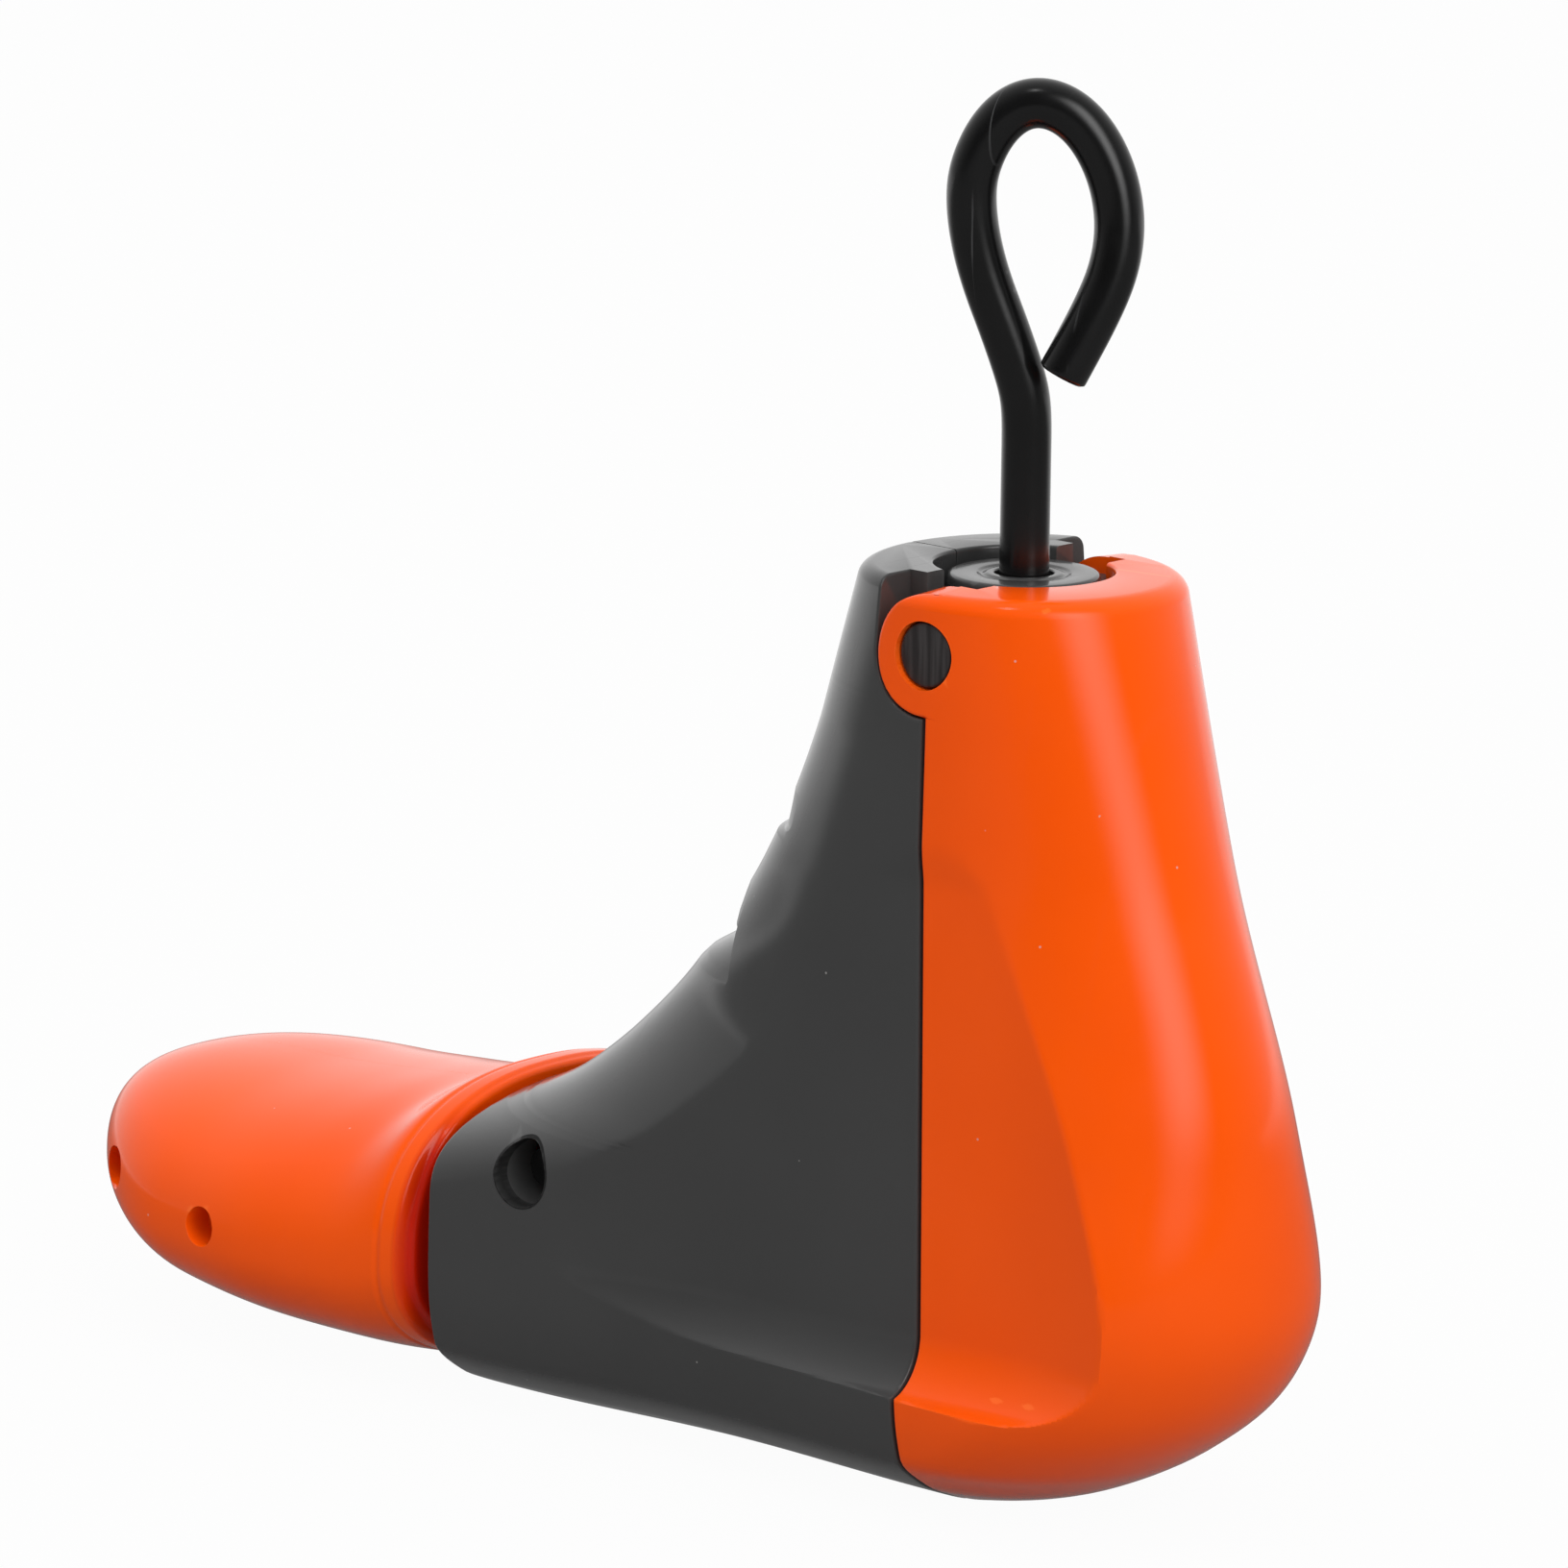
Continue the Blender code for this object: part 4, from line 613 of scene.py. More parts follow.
# %% Skin the heel
def heel(name):
    """Mirrors the half sections into horseshoes, skins them and closes sole and top across the wall.

    A horseshoe can't be closed by one face, so a strip of quads joins its outside to its inside, and one face
    more lies over each of its two end caps.
    """
    z, x, y, in_x, in_y, crown = heel_half()
    cap = np.linspace(0, 1, 7)[None, 1:-1]
    cap_x = x[:, -1:] + (in_x[:, -1:] - x[:, -1:]) * cap
    cap_y = y[:, -1:] + (in_y[:, -1:] - y[:, -1:]) * cap
    loop_x = np.concatenate([x[:, :0:-1], x, cap_x, in_x[:, :0:-1], in_x, cap_x[:, ::-1]], axis=1)
    loop_y = np.concatenate([-y[:, :0:-1], y, cap_y, in_y[:, :0:-1], -in_y, -cap_y[:, ::-1]], axis=1)
    rise = np.concatenate([0 * x[:, :0:-1], 0 * x, cap * crown, crown + 0 * in_x[:, :0:-1], crown + 0 * in_x,
                           cap[:, ::-1] * crown], axis=1)
    sink = CROWN_SINK * ease((z[:, None] - CROWN_FROM) / 7)
    points = np.stack([loop_x, loop_y, z[:, None] + rise - sink], -1)
    rows, columns = points.shape[:2]
    outer = 2 * x.shape[1] - 1
    side = cap.shape[1]
    out = np.arange(outer)
    inside = outer + side + outer - 1 - out
    strip = np.stack([out[:-1], out[1:], inside[1:], inside[:-1]], -1)
    faces = np.concatenate([grid(rows, columns), strip, strip + (rows - 1) * columns]).tolist()
    for row in (0, rows - 1):
        left = [outer - 1] + list(range(outer, outer + side)) + [outer + side]
        right = [0] + list(range(columns - 1, columns - side - 1, -1)) + [columns - side - 1]
        faces += [[row * columns + i for i in left], [row * columns + i for i in right]]
    return skin(name, points, faces)


heel_piece = settle(heel("heel_cup"), [pivot_cutter()])
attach(heel_piece, "heel")
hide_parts("heel_shell")
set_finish(heel_piece, "orange")

# %% [markdown]
# ## The orange toe, two halves
#
# Each half of the real toe is a hollow shell with a beaded rim behind, a neck that enters the body and
# a tongue that the spreader parts.  The outside is a row of rounded cross-sections along the foot, as
# on a last: a full oval whose top, floor and width follow their own profiles.  The rim's two beads and
# the step down to the neck are a change of section, so they belong to the same surface.  Only the
# tongue, which has flat faces, is joined on, and the spreader's room is cut out.

# %% Sections of the toe
TOE_X, TOE_REACH, TOE_NOSE, TIP_Z = 96.0, 186.25, 38.6, 27.7  # rim, tip, length and height of the nose
TOE_POWER, RIM_POWER = 2 / 2.27, 2 / 2.38  # the oval's squareness along the toe, and on top of the rim
TOE_SPLIT = 0.02  # half the gap between the two halves
NECK_HALF, NECK_TOP, NECK_FLOOR, NECK_END = 27.0, 43.0, 8.0, 94.85
PLUGS = [(137.6, 20.9), (166.2, 24.1)]
LIP_X, SHOULDER_X, GROOVE_X, BEAD_X = 95.9, 96.9, 100.2, 91.9  # places along the rim and the neck
WIDEST, NOSE_CLOSE = 0.42, 0.9  # height share of the oval's widest place; how top and floor close on the tip
TOE_TOP = [(TOE_X, 48.9), (100.6, 48.7), (106, 45.6), (111.5, 43.4), (121, 42.3), (130, 41.4), (150, 40.3),
           (172, 41.4), (TOE_REACH, 43)]
TOE_FLOOR = [(TOE_X, 1.7), (106, 1.1), (114, 1.2), (130, 1.9), (150, 4.0), (175, 9.8), (TOE_REACH, 13)]
TOE_HALF = [(TOE_X, 36), (106, 37.9), (114, 38.6), (130, 39.9), (150, 38), (TOE_REACH, 32)]
toe_top = softened(through(TOE_TOP), TOE_X, TOE_REACH, 1.6, 0)
toe_floor, toe_half = (softened(through(pairs), TOE_X, TOE_REACH, 3.0, 0) for pairs in (TOE_FLOOR, TOE_HALF))


def toe_section(x, inset, turn):
    """Half sections at x: an oval with powers of sine and cosine, from the top round the side to the floor.

    Over the nose all three outlines close on the tip, by the square root of one less the reach squared.
    """
    reach = np.clip((x - (TOE_REACH - TOE_NOSE)) / TOE_NOSE, 0, 1)
    close = np.sqrt(1 - reach * reach)
    top = TIP_Z + (toe_top(x) - inset - TIP_Z) * close ** NOSE_CLOSE
    floor = TIP_Z + (toe_floor(x) + inset - TIP_Z) * close ** NOSE_CLOSE
    half = (toe_half(x) - inset) * close
    middle = floor + WIDEST * (top - floor)
    c, s = np.cos(turn), np.sin(turn)
    power = TOE_POWER + (RIM_POWER - TOE_POWER) * ease((112 - x) / 11) * (s > 0)
    height = np.where(s > 0, top - middle, middle - floor) * np.abs(s) ** power
    return half * np.abs(c) ** power, middle + np.sign(s) * height


def neck_section(swell, turn):
    """Half sections of the neck: an oval with the power 0.7, so squarer, and larger where it swells."""
    middle, rise = (NECK_TOP + NECK_FLOOR) / 2, (NECK_TOP - NECK_FLOOR) / 2 + swell
    c, s = np.cos(turn), np.sin(turn)
    return (NECK_HALF + swell) * np.abs(c) ** 0.7, middle + np.sign(s) * rise * np.abs(s) ** 0.7


# %% Skin a toe half
def toe_stations():
    """Places of the sections, crowded at the neck's bead, the rim and the tip, and their shares of toe."""
    neck = np.concatenate([[85, 87, 89, 90], np.linspace(90.6, 93.2, 12), [93.7, 94.2, 94.6, 94.8]])
    wall = np.full(7, NECK_END) + np.linspace(0, 0.04, 7)
    rim = np.concatenate([[94.91, 94.95, 95.02, 95.12, 95.28, 95.5], np.arange(95.7, 104.5, 0.25)])
    shell = np.arange(105.2, TOE_REACH - TOE_NOSE, 1.2)
    tip = TOE_REACH - TOE_NOSE + TOE_NOSE * np.sin(np.linspace(0.01, np.pi / 2 - 0.006, 46))
    x = np.concatenate([neck, wall, rim, shell, tip])
    whole = np.ones(len(rim) + len(shell) + len(tip))
    share = np.concatenate([np.zeros(len(neck)), np.linspace(0.02, 1, len(wall)), whole])
    return x[:, None], share[:, None]


def toe_surface_y(x, z):
    """Distance of the toe's side from the middle plane at one point (x, z)."""
    y, height = toe_section(np.array([[x]]), 0.0, np.linspace(-np.pi / 2, np.pi / 2, 400)[None])
    return float(np.interp(z, height[0], y[0]))


def toe_shell(name, side):
    """Skins the sections of one half, with a flat face on the middle plane.

    The inset forms the rim: a rolled lip, a shoulder behind it that is shallower on top, and a fine groove in
    front, where a bell is taken off the oval.  The neck's bead is a bell added to its section.
    """
    x, share = toe_stations()
    edge = np.array([0, 0.0008, 0.0018, 0.003, 0.0045, 0.0065, 0.009, 0.013, 0.019])
    turn = np.concatenate([edge, np.linspace(0.028, 0.972, 96), 1 - edge[::-1]])
    turn = (np.pi / 2 - np.pi * turn)[None]
    lip = np.clip(LIP_X - x, 0, 1.0)
    shoulder = ease((SHOULDER_X - x) / 1.2) * (2.0 - 1.5 * ease((np.sin(turn) - 0.3) / 0.6))
    groove = 0.3 * np.exp(-((x - GROOVE_X) / 0.5) ** 2)
    inset = 1.0 - np.sqrt(1 - lip ** 2) + shoulder + groove
    toe_y, toe_z = toe_section(x, inset, turn)
    bead = 0.5 * np.exp(-((x - BEAD_X) / 0.55) ** 2)
    flare = 0.5 * roll(NECK_END - np.minimum(x, NECK_END), 0.6)
    neck_y, neck_z = neck_section(bead + flare, turn)
    y, z = neck_y * (1 - share) + toe_y * share, neck_z * (1 - share) + toe_z * share
    widest = y.max(axis=1, keepdims=True)
    y = TOE_SPLIT + y * np.clip(widest - TOE_SPLIT, 0.001, None) / widest
    face = np.linspace(0, 1, 26)[None, 1:-1]
    face_z = z[:, -1:] + (z[:, :1] - z[:, -1:]) * face
    loop_y = np.concatenate([y, TOE_SPLIT + 0 * face_z], axis=1)
    loop_z = np.concatenate([z, face_z], axis=1)
    return loft(name, np.stack([x + 0 * loop_y, side * loop_y, loop_z], -1))


# %% The tongue, the spreader's room and the sockets
def prism(name, outline, near, far, across="Y"):
    """A cutter: a flat outline pushed along an axis."""
    outline = np.asarray(outline, float)
    depth = np.repeat([near, far], len(outline))
    first, second = np.tile(outline, (2, 1)).T
    points = np.stack([first, depth, second] if across == "Y" else [first, second, depth], -1)
    return loft(name, points.reshape(2, -1, 3))


def tongue(name, side):
    """The tongue between the walls: a bevelled bar whose top slopes down to the neck."""
    x = np.array([65.5, 66.3, 78.0, 87.0])[:, None]
    drop = np.array([0.8, 0, 0, 9.0])[:, None]
    shrink = np.array([0.8, 0, 0, 0])[:, None]
    y = np.array([[MEDIAN, 20, 20, 12.5, MEDIAN]]) - shrink * np.array([[0, 1, 1, 1, 0]])
    z = np.array([[32, 32, 41, 48, 48.0]]) - drop * np.array([[0, 0, 0.5, 1, 1]])
    z = z + shrink * np.array([[1, 1, 0, 0, 0]])
    return loft(name, np.stack([x + 0 * y, side * y, z], -1))


def plow_half(x):
    """Half width of the spreader's plow."""
    return 3.0 + (95.0 - x) / 3


def toe_piece(name, side):
    """One toe half: the shell and its tongue, less the spreader's room, the pin's hole and the sockets."""
    piece = toe_shell(name, side)
    room = prism("room", [(64.5, side * -1), (64.5, side * (plow_half(64.5) + 0.3)), (95, side * 3.3),
                          (108, side * 3.29), (108, side * -1)], 31, 90, "Z")
    roof = prism("roof", [(63, 30), (109, 30), (109, 39.7), (91, 47.8), (91, 95), (63, 95)], -20, 20)
    cut = room.modifiers.new("roof", "BOOLEAN")
    cut.operation, cut.solver, cut.object = "INTERSECT", "EXACT", roof
    cutters = [room, drum("cross_hole", 3.3, -60, 60, (CROSS[0], 0, CROSS[1]), 48)]
    for x, z in PLUGS:
        wall = toe_surface_y(x, z)
        steps = [(2.0, -11), (2.0, -5.2), (3.0, -5.2), (3.0, -0.8), (3.35, 0.1), (5.4, 4)]
        profile = (np.array(steps) + (0, wall)) * (1, side)
        cutters.append(lathe("plug_cutter", profile, (x, 0, z), "Y", 64, solid=True))
    join = tongue("tongue", side)
    add = piece.modifiers.new("tongue", "BOOLEAN")
    add.operation, add.solver, add.object = "UNION", "EXACT", join
    settle(piece, cutters)
    for helper in (join, roof):
        bpy.data.objects.remove(helper)
    return piece


# %% Make the two toe halves
for name, side in (("toe_left", 1), ("toe_right", -1)):
    piece = toe_piece(name + "_shell", side)
    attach(piece, name)
    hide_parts("toe_half_" + name[4:])
    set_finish(piece, "orange")

# %% [markdown]
# ## The hooked spindle
#
# One steel rod: a threaded shank inside the body, a bare neck and an open eye bent in one plane, coated
# black.  A curve with a bevel would give the rod; a tube carried along the bent line in numpy also
# gives the thread on the shank and the small chamfer on the cut end.  The thread is a ripple of the
# radius that winds round once per lead, so the shank is a true helix.

# %% The rod's centre line
# The eye's centre line: sideways and upwards from the collar's middle, and towards the camera.
EYE = [(0, 21.1, 0), (-0.4, 25.6, 0), (-1.9, 30.6, 0), (-3.9, 36.1, 0), (-6.2, 42.1, 0), (-7.9, 47.9, 0),
       (-8.8, 53.9, 0), (-8.5, 59.1, 0.1), (-6.2, 64.7, 0.3), (-2.8, 68.4, 0.6), (1.1, 69.6, 1),
       (5.2, 68.3, 1.5), (8.8, 64.9, 2), (11.6, 59.7, 2.6), (13, 53.9, 3.1), (13, 48.6, 3.6),
       (11.9, 43.7, 4.1), (9.8, 38.7, 4.6), (7.4, 33.9, 4.9), (4.9, 29.1, 5.1)]
HOOK_TURN = math.radians(222.5)  # the plane of the eye faces the camera
ROD_FOOT, THREAD_FOOT, THREAD_TOP, LEAD = 14.0, 15.0, 112.0, 2.0


def rod_line(step=0.35, width=1.6):
    """The rod's centre line: cubic pieces through the eye's points, evenly spaced, averaged with a bell."""
    eye = np.array(EYE, float)
    knots = np.concatenate([2 * eye[:1] - eye[1:2], eye, 2 * eye[-1:] - eye[-2:-1]])
    t = (np.arange(16) / 16)[None, :, None]
    a, b, c, d = (knots[i:len(knots) - 3 + i, None] for i in range(4))
    bend = 0.5 * (2 * b + (c - a) * t + (2 * a - 5 * b + 4 * c - d) * t ** 2
                  + (3 * b - a - 3 * c + d) * t ** 3)
    bend = np.concatenate([[[0, ROD_FOOT - BODY_TOP, 0]], bend.reshape(-1, 3), eye[-1:]])
    length = np.concatenate([[0], np.cumsum(np.linalg.norm(np.diff(bend, axis=0), axis=1))])
    at = np.linspace(0, length[-1], int(length[-1] / step))
    line = np.stack([np.interp(at, length, bend[:, i]) for i in range(3)], -1)
    pad = int(4 * width / step)
    front = 2 * line[0] - line[pad:0:-1]
    end = 2 * line[-1] - line[-2:-pad - 2:-1]
    bell = np.exp(-0.5 * (np.arange(-pad, pad + 1) * step / width) ** 2)
    long = np.concatenate([front, line, end])
    line = np.stack([np.convolve(long[:, i], bell / bell.sum(), mode="valid") for i in range(3)], -1)
    sideways = np.array([math.cos(HOOK_TURN), math.sin(HOOK_TURN), 0])
    towards = np.array([math.sin(HOOK_TURN), -math.cos(HOOK_TURN), 0])
    upright = np.array([0, 0, 1.0])
    return line[:, :1] * sideways + (line[:, 1:2] + BODY_TOP) * upright + line[:, 2:] * towards, towards


# %% Make the rod
def hook(name, count=40):
    """Rings across the line, their radius rippled by the thread and drawn in at both cut ends."""
    line, towards = rod_line()
    along = np.gradient(line, axis=0)
    along /= np.linalg.norm(along, axis=1, keepdims=True)
    across = towards - (along @ towards)[:, None] * along
    across /= np.linalg.norm(across, axis=1, keepdims=True)
    third = np.cross(along, across)
    turn, height = circle(count), line[:, 2:3]
    phase = np.mod(height / LEAD - turn[None] / (2 * np.pi), 1)
    ripple = np.clip(2.6 * np.abs(phase - 0.5) - 0.15, 0, 1)
    threaded = ease((height - THREAD_FOOT) / 1.5) * ease((THREAD_TOP - height) / 3)
    travel = np.concatenate([[0], np.cumsum(np.linalg.norm(np.diff(line, axis=0), axis=1))])
    chamfer = roll(travel, 0.6) + roll(travel[-1] - travel, 0.6)
    radius = ROD_RADIUS - 0.6 * ripple * threaded - np.minimum(chamfer, 0.6)[:, None]
    ring = across[:, None] * np.cos(turn)[None, :, None] + third[:, None] * np.sin(turn)[None, :, None]
    return loft(name, line[:, None] + ring * radius[:, :, None])


hook_piece = settle(hook("hook"), sharp=50)
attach(hook_piece, "spindle")
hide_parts("hook_spindle")
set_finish(hook_piece, "black")

# %% [markdown]
# ## Swivel block and pivot pins
#
# The block is a turned plug in the collar: its top shows as a disc with a faint ring groove round the
# rod.  The pins are short bars seen end on in the ears.  Both are lathe work, so a profile is swept
# round an axis, with the small edge roundings drawn in the profile.

# %% Turn the block
BLOCK_TOP, BLOCK_FOOT, BLOCK_RADIUS = 141.2, 114.8, 11.5


def arc(centre, radius, start, stop, count=6):
    """Points of an arc in a profile, angles in degrees."""
    angle = np.radians(np.linspace(start, stop, count))
    return np.stack([centre[0] + radius * np.cos(angle), centre[1] + radius * np.sin(angle)], -1)


groove_r = np.linspace(-1, 1, 11)
block_profile = np.concatenate([
    [(9.0, BLOCK_FOOT), (BLOCK_RADIUS - 0.3, BLOCK_FOOT), (BLOCK_RADIUS, BLOCK_FOOT + 0.3)],
    arc((BLOCK_RADIUS - 0.7, BLOCK_TOP - 0.7), 0.7, 0, 90),
    np.stack([6.4 - groove_r * 0.9, BLOCK_TOP - 0.3 * (1 - groove_r ** 2) ** 2], -1),
    [(5.0, BLOCK_TOP)], arc((4.75, BLOCK_TOP - 0.3), 0.3, 90, 180),
    [(4.45, BLOCK_TOP - 1.4), (4.05, BLOCK_TOP - 1.5), (4.05, BLOCK_FOOT + 10), (9.0, BLOCK_FOOT + 10),
     (9.0, BLOCK_FOOT + 2.7), (9.7, BLOCK_FOOT + 2.7), (9.7, BLOCK_FOOT + 1), (9.0, BLOCK_FOOT + 1)]])
block = lathe("swivel_disc", block_profile, (0, 0, 0), "Z", 160)
settle(block, [drum("socket_cutter", PIN_BORE, side * 6.2, side * 30, (PIVOT_X, 0, PIVOT_Z), 80)
               for side in (1, -1)])
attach(block, "body")
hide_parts("swivel_block")
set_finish(block, "grey")

# %% Turn the pins
for name, side in (("pin_left", 1), ("pin_right", -1)):
    end = COLLAR_RADIUS - 0.25
    profile = np.concatenate([[(PIN_RADIUS - 0.4, 6.5), (PIN_RADIUS, 6.9), (PIN_RADIUS, end - 0.45)],
                              arc((PIN_RADIUS - 0.45, end - 0.45), 0.45, 0, 90)]) * (1, side)
    pin = settle(lathe(name, profile, (PIVOT_X, 0, PIVOT_Z), "Y", 96, solid=True), sharp=40)
    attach(pin, "body")
    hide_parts("pivot_" + name)
    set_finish(pin, "pin")

# %% [markdown]
# ## Finishes
#
# Every finish is a Principled shader fed by procedural patterns on Object coordinates, so that it stays
# on its piece when the piece moves.  A single colour would look like a drawing: a gloss moulding shows
# a faint wave from the mould, fine rubbing marks, a little dust and paler edges where it has been
# handled.  The small builder below keeps the node graphs short to write: `add_node` makes a node, sets
# its numbers and links its inputs, here and for the floor, the world and the lamps.

# %% A small builder for node graphs
def add_node(tree, kind, inputs=(), **settings):
    """Makes a node; inputs maps a socket's name or number to a value or to another node's output."""
    made = tree.nodes.new(kind)
    for name, value in settings.items():
        setattr(made, name, value)
    for socket, value in dict(inputs).items():
        if isinstance(value, bpy.types.NodeSocket):
            tree.links.new(value, made.inputs[socket])
        else:
            made.inputs[socket].default_value = value
    return made


# %% A finish and its patterns
class Finish:
    """A material: its Principled shader gets plain numbers on its own sockets and patterns by links."""

    def __init__(self, name, **plain):
        self.made = bpy.data.materials.new(name)
        self.made.use_nodes = True
        self.tree = self.made.node_tree
        self.shader = self.tree.nodes["Principled BSDF"]
        self.place = self.add("ShaderNodeTexCoord").outputs["Object"]
        for socket, value in plain.items():
            self.shader.inputs[socket.replace("_", " ")].default_value = value

    def add(self, kind, inputs=(), **settings):
        """Makes a node of this finish."""
        return add_node(self.tree, kind, inputs, **settings)

    def feed(self, socket, output):
        """Links a pattern to the shader."""
        self.tree.links.new(output, self.shader.inputs[socket])

    def noise(self, scale, detail=2.0, stretch=(1, 1, 1), turn=(0, 0, 0)):
        """Cloudy noise from 0 to 1, in features of 1 / scale metres, drawn out along an axis if stretched."""
        place = self.add("ShaderNodeMapping", {"Vector": self.place, "Scale": stretch, "Rotation": turn})
        made = self.add("ShaderNodeTexNoise", {"Vector": place.outputs[0], "Scale": scale, "Detail": detail})
        return made.outputs["Fac"]

    def band(self, value, low, high, start=0.0, stop=1.0):
        """Maps the part of a pattern between low and high to start and stop."""
        return self.add("ShaderNodeMapRange", {0: value, 1: low, 2: high, 3: start, 4: stop}).outputs[0]

    def times(self, first, second):
        """Product of two patterns: the second shows only where the first does."""
        return self.add("ShaderNodeMath", {0: first, 1: second}, operation="MULTIPLY").outputs[0]

    def plus(self, first, second):
        """Sum of two patterns."""
        return self.add("ShaderNodeMath", {0: first, 1: second}, operation="ADD").outputs[0]

    def blend(self, share, first, second):
        """Mixes two colours, each a triple or another node's colour: the share counts for the second."""
        made = self.add("ShaderNodeMix", {0: share}, data_type="RGBA")
        for socket, value in ((made.inputs[6], first), (made.inputs[7], second)):
            if isinstance(value, bpy.types.NodeSocket):
                self.tree.links.new(value, socket)
            else:
                socket.default_value = (*value, 1)
        return made.outputs[2]

    def specks(self, scale, size, share):
        """Scattered specks: cells of a Voronoi pattern, small round spots kept only in some of the cells."""
        cells = self.add("ShaderNodeTexVoronoi", {"Vector": self.place, "Scale": scale})
        spot = self.band(cells.outputs["Distance"], size, size * 0.5)
        pick = self.add("ShaderNodeSeparateColor", {0: cells.outputs["Color"]}).outputs[0]
        return self.times(spot, self.band(pick, share, share * 0.98))

    def edges(self, low=0.53, high=0.6):
        """Worn edges: the pointiness of the surface, above a level."""
        return self.band(self.add("ShaderNodeNewGeometry").outputs["Pointiness"], low, high)

    def scratches(self, turn, keep=0.64):
        """Fine rubbing marks: noise drawn out a hundredfold, and only its crests."""
        return self.band(self.noise(900, 3, (1, 0.02, 0.02), turn), keep, keep + 0.1)

    def bump(self, height, distance, strength=1.0, below=None):
        """Relief too fine to be geometry, laid over another relief if there is one below."""
        inputs = {"Height": height, "Distance": distance, "Strength": strength}
        if below:
            inputs["Normal"] = below
        return self.add("ShaderNodeBump", inputs).outputs[0]


# %% [markdown]
# ## Orange and grey mouldings
#
# Both are hard gloss plastic.  The orange is saturated and lets a clear reflection through; the grey is
# a dark charcoal with a slightly wider gloss.  The mould leaves a slow wave in the surface, much finer
# marks come from handling, and dust settles in specks.  Shade is painted into the toe's neck, where it
# sits in the body's mouth, and down the bore of the access hole.

# %% Gloss plastic
def neck(paint):
    """Where shade is painted on the toe's neck in the body's mouth: a band along x, strongest low down."""
    place = paint.add("ShaderNodeSeparateXYZ", {0: paint.place}).outputs
    low = paint.band(place[2], 0.0385, 0.0455, 1, 0.1)
    along = paint.times(paint.band(place[0], 0.010, 0.012), paint.band(place[0], 0.0284, 0.0302, 1, 0))
    return paint.times(along, low)


def bore(paint):
    """Where shade is painted, darker, inside the access hole, all along its axis."""
    flat = paint.add("ShaderNodeMapping", {"Vector": paint.place, "Scale": (1, 0, 1)}).outputs[0]
    axis = ((CROSS[0] + SPINDLE_X) * 0.001, 0, CROSS[1] * 0.001)
    away = paint.add("ShaderNodeVectorMath", {0: flat, 1: axis}, operation="DISTANCE").outputs["Value"]
    return paint.band(away, 0.00555, 0.00565, 1, 0)


def moulding(name, dark, light, worn, shine, gloss, marks, painted_shade_at, painted_shade_tone, dull):
    """Gloss plastic: colour drifts from dark to light, edges look worn, roughness rises on marks and dust.

    Shine is the level of its reflection, gloss the roughness where it is clean, marks what rubbing adds.
    Shade is painted in two places, the toe's neck in the body's mouth and the bore of the access hole: there
    the colour turns to a darker tone of painted shade, and dull is added to the roughness.
    """
    paint = Finish(name, IOR=1.5, Specular_IOR_Level=shine)
    drift = paint.band(paint.noise(26, 3), 0.3, 0.7)
    dust = paint.specks(420, 0.1, 0.03)
    rubbed = paint.plus(paint.scratches((0, 0.4, 0.3)), paint.scratches((0.2, 1.1, 1.9), 0.68))
    # painted shade: the mask of the neck or the bore turns the colour to the darker shade tone
    depth = painted_shade_at(paint)
    colour = paint.blend(depth, paint.blend(drift, dark, light), painted_shade_tone)
    colour = paint.blend(paint.times(paint.edges(), 0.55), colour, worn)
    colour = paint.blend(paint.times(dust, 0.5), colour, (0.5, 0.48, 0.46))
    paint.feed("Base Color", colour)
    clean = paint.band(paint.noise(70, 4), 0.35, 0.7, gloss, gloss + 0.06)
    rough = paint.plus(paint.plus(clean, paint.times(rubbed, marks)), paint.times(dust, 0.4))
    paint.feed("Roughness", paint.plus(rough, paint.times(depth, dull)))
    wave = paint.bump(paint.noise(38, 1), 0.00025, 0.35)
    grain = paint.bump(paint.noise(1500, 2), 0.00002, 0.12, wave)
    paint.feed("Normal", paint.bump(rubbed, 0.00001, 0.25, grain))
    return paint.made


# %% The two gloss colours
# The tones given near the end of each call are painted shade: a deep red on the toe's neck in the body's
# mouth, and near black down the bore of the access hole.
finishes = {
    "orange": moulding("orange_gloss", dark=(0.85, 0.081, 0.001), light=(0.89, 0.09, 0.002),
                       worn=(0.95, 0.16, 0.02), shine=0.3, gloss=0.1, marks=0.06, painted_shade_at=neck,
                       painted_shade_tone=(0.6, 0.012, 0.0005), dull=0.05),
    "grey": moulding("charcoal_gloss", dark=(0.044, 0.044, 0.044), light=(0.049, 0.049, 0.049),
                     worn=(0.09, 0.09, 0.09), shine=0.5, gloss=0.13, marks=0.08, painted_shade_at=bore,
                     painted_shade_tone=(0.004, 0.004, 0.004), dull=0.6),
}
for kind, made in finishes.items():
    print(kind, "is", made.name, "with", len(made.node_tree.nodes), "nodes")

# %% [markdown]
# ## Coated rod, blackened pins and bright steel
#
# The spindle is dipped in a thin black coat with a satin gloss: scuffs and chips show paler.  The cross
# pin seen down the access holes takes the same coat.  The pivot pins are blackened steel cut off
# square, so their ends carry a saw's straight grain.  The hidden screws, nuts and washers are bright
# plated steel with a turned grain.

